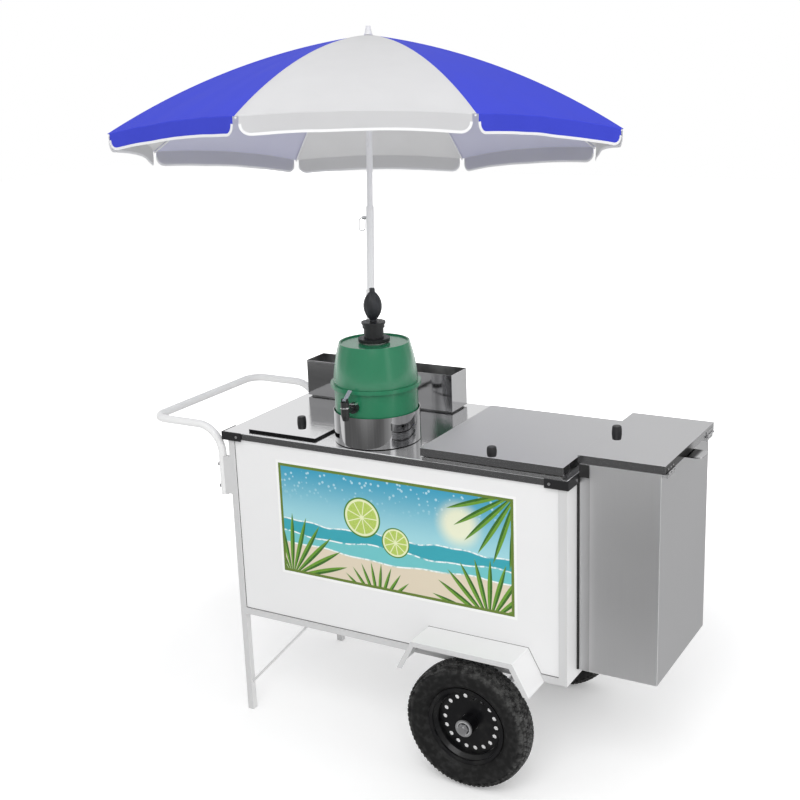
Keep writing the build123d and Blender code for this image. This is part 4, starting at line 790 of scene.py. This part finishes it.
block = bmesh.new()
bmesh.ops.create_cube(block, size=1.0)
for v in block.verts:
    if v.co.x > 0:
        v.co.y *= BLOCK_TAPER
        v.co.z *= BLOCK_TAPER
bmesh.ops.bevel(block, geom=block.edges[:], offset=BLOCK_BEVEL, segments=1, affect="EDGES")
tread_block = keep(block, "tread_block", rubber)


def tread_tree():
    """Rows of blocks round the wheel's Y axis, every second row half a step on."""
    tree = bpy.data.node_groups.new("tread", "GeometryNodeTree")
    inputs = {
        "Blocks": ("NodeSocketInt", 76),
        "Radius": ("NodeSocketFloat", TREAD_RADIUS),
        "Row Step": ("NodeSocketFloat", 0.0106),
        "Edge Drop": ("NodeSocketFloat", 0.0114),
        "Edge Lean": ("NodeSocketFloat", 0.75),
        "Block Size": ("NodeSocketVector", BLOCK_SIZE),
        "Block": ("NodeSocketObject", tread_block),
        "Rubber": ("NodeSocketMaterial", rubber),
    }
    for name, (kind, _) in inputs.items():
        tree.interface.new_socket(name, in_out="INPUT", socket_type=kind)
    tree.interface.new_socket("Geometry", in_out="OUTPUT", socket_type="NodeSocketGeometry")
    given = tree.nodes.new("NodeGroupInput")
    given = {name: Shade(given.outputs[name]) for name in inputs}
    outer_row = (TREAD_ROWS - 1) / 2
    index = given["Blocks"].node("GeometryNodeInputIndex", {}, {})
    row = (index / given["Blocks"]).maths("FLOOR")
    across = row - outer_row
    angle = (index + row * 0.5) * math.tau / given["Blocks"]
    outwards = abs(across) / outer_row
    radius = given["Radius"] - outwards**4.0 * given["Edge Drop"]
    axes = {
        "X": radius * angle.maths("COSINE"),
        "Y": across * given["Row Step"],
        "Z": radius * angle.maths("SINE"),
    }
    place = radius.node("ShaderNodeCombineXYZ", {}, axes)
    lean = outwards**3.0 * across.maths("SIGN") * given["Edge Lean"]
    euler = angle.node("ShaderNodeCombineXYZ", {}, {"Y": angle * -1.0, "Z": lean})
    turned = euler.node("FunctionNodeEulerToRotation", {}, {0: euler})
    count = given["Blocks"] * TREAD_ROWS
    points = row.node("GeometryNodePoints", {}, {"Count": count, "Position": place})
    one = given["Block"].node("GeometryNodeObjectInfo", {}, {"Object": given["Block"]}, "Geometry")
    set_out = {"Points": points, "Instance": one, "Rotation": turned, "Scale": given["Block Size"]}
    blocks = points.node("GeometryNodeInstanceOnPoints", {}, set_out)
    real = blocks.node("GeometryNodeRealizeInstances", {}, {"Geometry": blocks})
    done = real.node("GeometryNodeSetMaterial", {}, {"Geometry": real, "Material": given["Rubber"]})
    out = tree.nodes.new("NodeGroupOutput")
    done.to(out, "Geometry")
    return tree, {name: value for name, (_, value) in inputs.items()}


tread, tread_inputs = tread_tree()
casing_line = [*TYRE_LINE, *((r, -y) for r, y in reversed(TYRE_LINE[:-1]))]
for end in ("front", "back"):
    holder = bpy.data.objects.new(end + "_tread", bpy.data.meshes.new(end + "_tread"))
    bpy.context.scene.collection.objects.link(holder)
    modifier = holder.modifiers.new("tread", "NODES")
    modifier.node_group = tread
    for item in tread.interface.items_tree:
        if item.in_out == "INPUT":
            modifier[item.identifier] = tread_inputs[item.name]
    bm = bmesh.new()
    rings = []
    for step in range(TYRE_STEPS):
        angle = math.tau * step / TYRE_STEPS
        x, z = math.cos(angle), math.sin(angle)
        rings.append([bm.verts.new((r * x, y, r * z)) for r, y in casing_line])
    for step in range(TYRE_STEPS):
        first, second = rings[step - 1], rings[step]
        for i in range(len(casing_line)):
            bm.faces.new((first[i - 1], first[i], second[i], second[i - 1]))
    bmesh.ops.recalc_face_normals(bm, faces=bm.faces)
    bm.from_mesh(settle(holder).data)
    bpy.data.objects.remove(holder)
    bmesh.ops.translate(bm, verts=bm.verts, vec=joint(end + "_wheel_spin")["pos_m"])
    stand_for(keep(bm, end + "_tyre_treaded", rubber), end + "_tyre")
bpy.data.objects.remove(tread_block)

# Keg, moulded in glossy green plastic round a white liner, in two halves that meet on the band
# at its waist, with a raised rim and a tap in front.
green_plastic, shader, place = finish("green_plastic", Coat_Weight=0.28, Coat_Roughness=0.12)
cloud = place.noise(10, 3)
cloud.tint(shader, (0.012, 0.165, 0.075, 1), (0.018, 0.195, 0.094, 1))
cloud.rough(shader, 0.1, 0.20)
(place.noise(30, 1) + place.noise(800, 2) * 0.05).bump(shader, 0.0004, 0.5)
coat(green_plastic, "keg_shell")
liner_plastic, shader, place = finish("liner_plastic", Roughness=0.45)
place.noise(20, 2).tint(shader, (0.74, 0.74, 0.71, 1), (0.80, 0.80, 0.78, 1))
place.noise(300, 2).bump(shader, 0.0002, 0.5)
coat(liner_plastic, "keg_liner")

# Tap moulded in black with a bright ring round its seat, and a clear lever that tips towards
# the server. The stopper and the rubber bulb that pumps the keg stand on the keg's deck.
coat(black_plastic, "stopper")
TAP_RING = (0.0355, 0.0395)  # heights of the bright ring over the tap's lower end
BULB_FLUTES = 12
tap_black, shader, place = finish("tap_black")
height = place.xyz()[2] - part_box("tap_body")[0][2]
ring = (height > TAP_RING[0]) * (height < TAP_RING[1])
ring.tint(shader, (0.018, 0.018, 0.019, 1), (0.72, 0.72, 0.73, 1))
ring.to(shader, "Metallic")
(place.noise(700, 2) * 0.15 + 0.26 - ring * 0.15).to(shader, "Roughness")
place.noise(1200, 2).bump(shader, 0.00008, 0.5)
coat(tap_black, "tap_body")
clear_plastic, shader, place = finish("clear_plastic", Transmission_Weight=0.55, IOR=1.46)
place.noise(90, 3).tint(shader, (0.44, 0.47, 0.55, 1), (0.62, 0.64, 0.70, 1))
place.noise(160, 2).rough(shader, 0.2, 0.12)
coat(clear_plastic, "tap_lever")
black_rubber, shader, place = finish("black_rubber")
bloom = place.noise(45, 4)
bloom.smooth(0.3, 0.8).tint(shader, (0.010, 0.011, 0.014, 1), (0.026, 0.028, 0.034, 1))
bloom.rough(shader, 0.2, 0.42)
bulb_low, bulb_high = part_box("rubber_bulb")
bulb_middle = ((bulb_low[0] + bulb_high[0]) / 2, (bulb_low[1] + bulb_high[1]) / 2)
x, y, _ = place.xyz()
flutes = ((y - bulb_middle[1]).maths("ARCTAN2", x - bulb_middle[0]) * BULB_FLUTES).maths("COSINE")
(flutes * 0.5 + place.noise(900, 2) * 0.1).bump(shader, 0.0012, 0.6)
coat(black_rubber, "rubber_bulb")

# Umbrella pole in two white coated steel tubes, the upper one sliding in the lower and held
# by a sprung pin with a pull ring. Crown, runner and finial are moulded in white plastic, and
# eight ribs and their stretchers are coated as the pole is.
RIBS = 8


def smooth_white(name, dull, clean, clouds, haze, rough, grain, depth):
    """White coat or plastic, in faint clouds. Clouds, haze and grain are to the metre."""
    material, shader, place = finish(name)
    place.noise(clouds, 3).tint(shader, dull, clean)
    place.noise(haze, 3).rough(shader, 0.15, rough)
    place.noise(grain, 2).bump(shader, depth, 0.6)
    return material


pole_tones = (0.87, 0.87, 0.88, 1), (0.92, 0.92, 0.93, 1)
white_pole = smooth_white("white_pole", *pole_tones, 30, 50, 0.22, 900, 0.00005)
coat(white_pole, "lower_pole", "upper_pole")
plastic_tones = (0.74, 0.74, 0.75, 1), (0.82, 0.82, 0.83, 1)
umbrella_plastic = smooth_white("umbrella_plastic", *plastic_tones, 40, 90, 0.32, 700, 0.0001)
coat(umbrella_plastic, "crown", "finial", "runner")
coat(zinc, "lock_pin")
for number in range(1, RIBS + 1):
    coat(white_pole, f"rib_{number}", f"stretcher_{number}")

# Canopy of eight sewn gores, white and blue by turns, in thin woven polyester. It is cut in
# one with a hanging flap along each gore, whose hem is bound with white tape. It rides on
# the ribs, so each piece runs from the middle of one gore over a rib to the middle of the next.
GORE_ROWS = 30
GORE_COLUMNS = 14
ROW_CROWDING = 0.9  # powers by which the lines of points crowd to one side
COLUMN_CROWDING = 1.15
FLAP_ROWS = 7
FLAP_COLUMNS = 26
FLAP_CROWDING = 1.7
FLAP_DEPTH = 0.050
FLAP_CORNER = 0.030
FLAP_GAP = 0.010
FLAP_UNEVEN = 0.003
CLOTH_THICKNESS = 0.0008
CLOTH_CREASE = 0.0018
GORE_SAG = 0.004
EDGE_HOLLOW = 0.026  # how far the edge is cut in between two ribs
CLOTH_LINE = ((0.0112, 1.1484), (0.4199, 1.0290), (0.7925, 0.8325))  # off the pole and up it
SEAM_DISTANCE = 1e-6
TAPE_WIDTH = 0.008
TAPE_THICKNESS = 0.0026
TAPE_LIFT = 0.35  # how far up the hem its middle is, as a share of its width
TAPE_OUTLINE = ((-1, -0.7), (-0.7, -1), (0.7, -1), (1, -0.7), (1, 0.8), (-1, 0.8))

pole_foot = Vector(joint("pole_turn")["pos_m"])
pole_up = Vector(joint("pole_turn")["axis"]).normalized()
crown_reach, edge_reach = CLOTH_LINE[0][0], CLOTH_LINE[2][0]
pivots = []
spokes = []
for number in range(1, RIBS + 1):
    pivots.append(Vector(joint(f"rib_{number}_fold")["pos_m"]))
    out = pivots[-1] - pole_foot
    out -= pole_up * out.dot(pole_up)
    spokes.append(out.normalized())


def arc(points):
    """The circle through three points: its middle, its radius and the angles of the two ends."""
    (ax, ay), (bx, by), (cx, cy) = points
    d = 2 * (ax * (by - cy) + bx * (cy - ay) + cx * (ay - by))
    a, b, c = ax * ax + ay * ay, bx * bx + by * by, cx * cx + cy * cy
    x = (a * (by - cy) + b * (cy - ay) + c * (ay - by)) / d
    y = (a * (cx - bx) + b * (ax - cx) + c * (bx - ax)) / d
    return x, y, math.hypot(ax - x, ay - y), math.atan2(ay - y, ax - x), math.atan2(cy - y, cx - x)


arc_x, arc_y, arc_radius, arc_start, arc_end = arc(CLOTH_LINE)
arc_length = arc_radius * abs(arc_end - arc_start)


def facing(gore):
    """The way that the middle of a gore looks, square to the pole."""
    return (spokes[gore] + spokes[(gore + 1) % RIBS]).normalized()


def gore_width(gore):
    """How wide a gore is between the ends of its two ribs."""
    return (spokes[(gore + 1) % RIBS] - spokes[gore]).length * edge_reach


def lower_edge(share):
    """How far down the cloth its lower edge is, at a place across a gore."""
    return 1 - 4 * share * (1 - share) * EDGE_HOLLOW / arc_length


def cloth(gore, share, along):
    """A point of the cloth: how far across a gore from its first rib, and down from the crown."""
    angle = arc_start + (arc_end - arc_start) * along
    reach, height = arc_x + arc_radius * math.cos(angle), arc_y + arc_radius * math.sin(angle)
    chord = spokes[gore].lerp(spokes[(gore + 1) % RIBS], share)
    normal = (facing(gore) * math.cos(angle) + pole_up * math.sin(angle)).normalized()
    free = 4 * share * (1 - share)
    crease = noise.noise(Vector((share * 9 + gore * 5.3, along * 1.6, gore * 2.1)))
    sag = GORE_SAG * free * math.sin(math.pi * along) + CLOTH_CREASE * crease * along * free
    return pole_foot + chord * reach + pole_up * height - normal * sag


def flap(gore, share, down):
    """A point of a hanging flap: across the gore, and down from its edge in metres."""
    top = cloth(gore, share, lower_edge(share))
    wave = noise.noise(Vector((share * 5.2 + gore * 3.7, gore * 1.9, 0.4)))
    swing = (0.10 * wave - 0.03) * down * min(1, 8 * share * (1 - share) + 0.2)
    fall = (pole_up * 0.75 + Vector((0, 0, 0.25))).normalized()
    return top - fall * down + facing(gore) * swing


def flap_depth(gore, share):
    """How far a flap hangs at a place along it, with its two lower corners rounded off."""
    inset = min(share, 1 - share) * gore_width(gore) - FLAP_GAP
    drop = FLAP_DEPTH + FLAP_UNEVEN * noise.noise(Vector((share * 3.1 + gore * 7.7, 2.2, gore)))
    if inset >= FLAP_CORNER:
        return drop
    x = 1 - max(inset, 0) / FLAP_CORNER
    return drop - FLAP_CORNER * (1 - math.sqrt(max(0, 1 - x * x)))


def from_rib(near, side):
    """A place across a gore, from how far it is from the rib on one of its sides."""
    return near if side > 0 else 1 - near


def weave_rows(bm, rows, side, index):
    """Faces between rows of points, looking outwards, with one of the canopy's finishes."""
    for upper, lower in zip(rows, rows[1:]):
        for quad in zip(upper, lower, lower[1:], upper[1:]):
            face = bm.faces.new(quad if side > 0 else quad[::-1])
            face.material_index = index


def half_gore(bm, flat, gore, side):
    """The half of a gore beside a rib. Each point's place on the flat cloth goes in flat."""
    rows = []
    for row in range(GORE_ROWS + 1):
        line = []
        for column in range(GORE_COLUMNS + 1):
            near = (column / GORE_COLUMNS) ** COLUMN_CROWDING * 0.5
            along = (row / GORE_ROWS) ** ROW_CROWDING * lower_edge(near)
            v = bm.verts.new(cloth(gore, from_rib(near, side), along))
            reach = crown_reach + (edge_reach - crown_reach) * along
            flat[v] = (side * near * gore_width(gore) * reach / edge_reach, along * arc_length)
            line.append(v)
        rows.append(line)
    weave_rows(bm, rows, side, 1 - gore % 2)


def half_flap(bm, flat, gore, side):
    """The flap that hangs from half a gore, and the line of its hem."""
    width = gore_width(gore)
    gap = FLAP_GAP / width
    columns = []
    hem = []
    for column in range(FLAP_COLUMNS + 1):
        near = gap + (0.5 - gap) * (column / FLAP_COLUMNS) ** FLAP_CROWDING
        share = from_rib(near, side)
        depth = flap_depth(gore, share)
        line = []
        for row in range(FLAP_ROWS + 1):
            down = depth * row / FLAP_ROWS
            v = bm.verts.new(flap(gore, share, down))
            flat[v] = (side * near * width, arc_length + down)
            line.append(v)
        columns.append(line)
        hem.append(flap(gore, share, depth))
    weave_rows(bm, list(zip(*columns)), side, 2 * (1 - gore % 2))
    return hem


def bind(bm, hem, gore):
    """Tape folded over the hem of half a flap."""
    ring = None
    for i, point in enumerate(hem):
        forward = (hem[min(i + 1, len(hem) - 1)] - hem[max(i - 1, 0)]).normalized()
        outward = (facing(gore) - forward * facing(gore).dot(forward)).normalized()
        upward = forward.cross(outward).normalized()
        if upward.z < 0:
            upward = -upward
        corners = []
        for a, b in TAPE_OUTLINE:
            lift = upward * (b * TAPE_WIDTH / 2 + TAPE_WIDTH * TAPE_LIFT)
            corners.append(bm.verts.new(point + outward * (a * TAPE_THICKNESS / 2) + lift))
        if ring:
            for k in range(len(corners)):
                bm.faces.new((ring[k - 1], ring[k], corners[k], corners[k - 1]))
        else:
            bm.faces.new(corners)
        ring = corners
    bm.faces.new(ring[::-1])


def canopy_cloth(name, dark, pale, glow):
    """Woven polyester with a sewn seam over the rib, which lets some light through. Its hanging flaps are a
    little darker as painted shade.
    """
    material, shader, _ = finish(name, Specular_IOR_Level=0.12)
    uv = Shade(material.node_tree.nodes.new("ShaderNodeUVMap").outputs["UV"])
    across, along, _ = uv.xyz()
    warp = abs((across * 4200).maths("SINE"))
    weft = abs((along * 4200).maths("SINE"))
    weave = warp.maths("MAXIMUM", weft)
    cloudy = uv.noise(9, 4)
    seam = 1 - abs(across).smooth(0.004, 0.0065)
    tone = (cloudy * 0.7 + weave * 0.3).mix(dark, pale)
    # Painted shade: the hanging flaps below the gore's edge are darker.
    tone = (along.smooth(arc_length, arc_length + 0.004) * 0.14).mix(tone, grey(0))
    tone.to(shader, "Base Color")
    (0.62 + cloudy * 0.15).to(shader, "Roughness")
    fold = uv.noise(5.0, 2, (3, 1, 1))
    (weave * 0.05 + seam * 0.9 + fold * 3.0).bump(shader, 0.0008, 0.5)
    through = tone.node("ShaderNodeBsdfTranslucent", {}, {"Color": tone})
    both = tone.node("ShaderNodeMixShader", {}, {0: glow, 1: Shade(shader.outputs[0]), 2: through})
    both.to(material.node_tree.nodes["Material Output"], "Surface")
    return material


white_cloth = canopy_cloth("white_cloth", (0.76, 0.76, 0.77, 1), (0.82, 0.82, 0.83, 1), 0.3)
blue_cloth = canopy_cloth("blue_cloth", (0.050, 0.068, 0.66, 1), (0.068, 0.090, 0.76, 1), 0.12)
white_lining = canopy_cloth("white_lining", grey(0.78), grey(0.84), 0.3)
blue_lining = canopy_cloth("blue_lining", (0.64, 0.645, 0.78, 1), (0.70, 0.705, 0.83, 1), 0.12)
tape, shader, place = finish("tape", Roughness=0.7)
place.noise(500, 2).tint(shader, (0.78, 0.78, 0.79, 1), (0.86, 0.86, 0.87, 1))
place.noise(1400, 2).bump(shader, 0.0002, 0.6)

for number in range(1, RIBS + 1):
    bm = bmesh.new()
    uv = bm.loops.layers.uv.new("cloth")
    tape_bm = bmesh.new()
    flat = {}
    for side, gore in ((-1, (number - 2) % RIBS), (1, number - 1)):
        half_gore(bm, flat, gore, side)
        bind(tape_bm, half_flap(bm, flat, gore, side), gore)
    for face in bm.faces:
        for loop in face.loops:
            loop[uv].uv = flat[loop.vert]
    bmesh.ops.remove_doubles(bm, verts=bm.verts, dist=SEAM_DISTANCE)
    flat_area = sum(face.calc_area() for face in bm.faces)
    outsides = (white_cloth, blue_cloth, blue_cloth)
    panel = keep(bm, f"canopy_{number}", *outsides, white_lining, blue_lining, white_lining)
    wall = panel.modifiers.new("thickness", "SOLIDIFY")
    wall.thickness = CLOTH_THICKNESS
    wall.offset = -1
    wall.material_offset = len(outsides)
    wall.material_offset_rim = 0
    settle(panel).data.set_sharp_from_angle(angle=SHARP_ANGLE)
    bmesh.ops.recalc_face_normals(tape_bm, faces=tape_bm.faces)
    binding = keep(tape_bm, f"binding_{number}", tape)
    for made in (panel, binding):
        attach(made, f"rib_{number}")
        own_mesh(made)
        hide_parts("canopy")
    cut = (2 * math.sin(math.pi / RIBS) * edge_reach, arc_length + FLAP_DEPTH)
    min(flat_area, cut[0] * cut[1])

# Floor, sky and lamps: a plain white studio floor, a large soft lamp in front, a small one at
# the right and a pale sky. Steel also sees a grey card on the floor, as a yard is darker than that.
FLOOR_REACH = 14.0
CARD_REACH = 6.0
CARD_LIFT = 0.002
STREAKS_MIDDLE = (0.03, -0.36)  # under the keg
GLOWING = {"Specular_IOR_Level": 0.0, "Emission_Strength": 1.0}


def seen_by(nodes, *rays):
    """1 for rays of those kinds and 0 for others."""
    light_path = nodes.new("ShaderNodeLightPath")
    first, *others = (Shade(light_path.outputs[f"Is {ray} Ray"]) for ray in rays)
    return sum(others, first).maths("MINIMUM", 1.0)


floor_bm = bmesh.new()
bmesh.ops.create_grid(floor_bm, x_segments=1, y_segments=1, size=FLOOR_REACH)
floor_white, shader, place = finish("floor_white", Base_Color=grey(0.90), Roughness=0.9, **GLOWING)
east, north, _ = place.xyz()
away = east.hypot(north).smooth(0.9, 2.4)
glow = (away * 0.8 + 0.2) * seen_by(floor_white.node_tree.nodes, "Camera", "Transmission", "Glossy")
glow.mix(grey(0), grey(1)).to(shader, "Emission Color")
keep(floor_bm, "floor", floor_white)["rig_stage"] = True

card_bm = bmesh.new()
bmesh.ops.create_grid(card_bm, x_segments=1, y_segments=1, size=CARD_REACH)
bmesh.ops.translate(card_bm, verts=card_bm.verts, vec=(0, 0, CARD_LIFT))
card_grey, shader, place = finish("card_grey", Base_Color=grey(0), Roughness=1.0, **GLOWING)
east, north, _ = place.xyz()
yard = (east * 0.5 + north).smooth(-2.2, 0.6) * 0.40 + north.smooth(-3.2, -4.4) * 0.26 + 0.14
bearing = (north - STREAKS_MIDDLE[1]).maths("ARCTAN2", east - STREAKS_MIDDLE[0])
streaks = abs(bearing + 0.06).smooth(0.24, 0.14) + abs(bearing).smooth(2.65, 2.80) * 0.6
yard = yard.mix(grey(0), grey(1))
streaks.maths("MINIMUM", 1.0).mix(yard, grey(1.4)).to(shader, "Emission Color")
card = keep(card_bm, "card", card_grey)
card.visible_camera = False
card.visible_diffuse = False
card.visible_transmission = False
card.visible_shadow = False
card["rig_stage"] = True

world = bpy.data.worlds.new("studio")
world.use_nodes = True
bpy.context.scene.world = world
sky = world.node_tree
background = sky.nodes["Background"]
toward = Shade(sky.nodes.new("ShaderNodeTexCoord").outputs["Generated"])
east, north, up = toward.xyz()
behind_cart = (north + east * 0.25).smooth(-0.25, 0.35)
behind_cart = behind_cart * (0.42 - east * 0.90).maths("MINIMUM", 1.0)
bright = behind_cart.maths("MAXIMUM", up.smooth(0.55, 0.9))
mirrored = bright.mix(grey(0.50), grey(1))
bearing = north.maths("ARCTAN2", east)
streaks = abs(bearing + 0.36).smooth(0.16, 0.08) + abs(bearing - 0.92).smooth(0.12, 0.06) * 0.5
streaks = (streaks + abs(bearing + 2.72).smooth(0.12, 0.06) * 0.4) * up.smooth(0.62, 0.50)
mirrored = streaks.mix(mirrored, grey(1.25))
plain = seen_by(sky.nodes, "Glossy").mix(grey(0.78), mirrored)
seen_by(sky.nodes, "Camera", "Transmission").mix(plain, grey(1)).to(background, "Color")


def soft_lamp(name, across, power, location, target):
    """A round lamp, so many metres across and of so many watts, turned to a target."""
    lamp = bpy.data.objects.new(name, bpy.data.lights.new(name, "AREA"))
    lamp.data.shape = "DISK"
    lamp.data.size = across
    lamp.data.energy = power
    lamp.location = location
    lamp.rotation_euler = (Vector(target) - lamp.location).to_track_quat("-Z", "Y").to_euler()
    bpy.context.scene.collection.objects.link(lamp)
    return lamp


soft_lamp("key", 3.0, 88, (1.6, -3.8, 4.4), (0, 0, 0.9))
fill = soft_lamp("fill", 1.5, 13, (3.5, -0.6, 1.8), (0, -0.2, 1.1))
fill.visible_glossy = False

low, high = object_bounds()
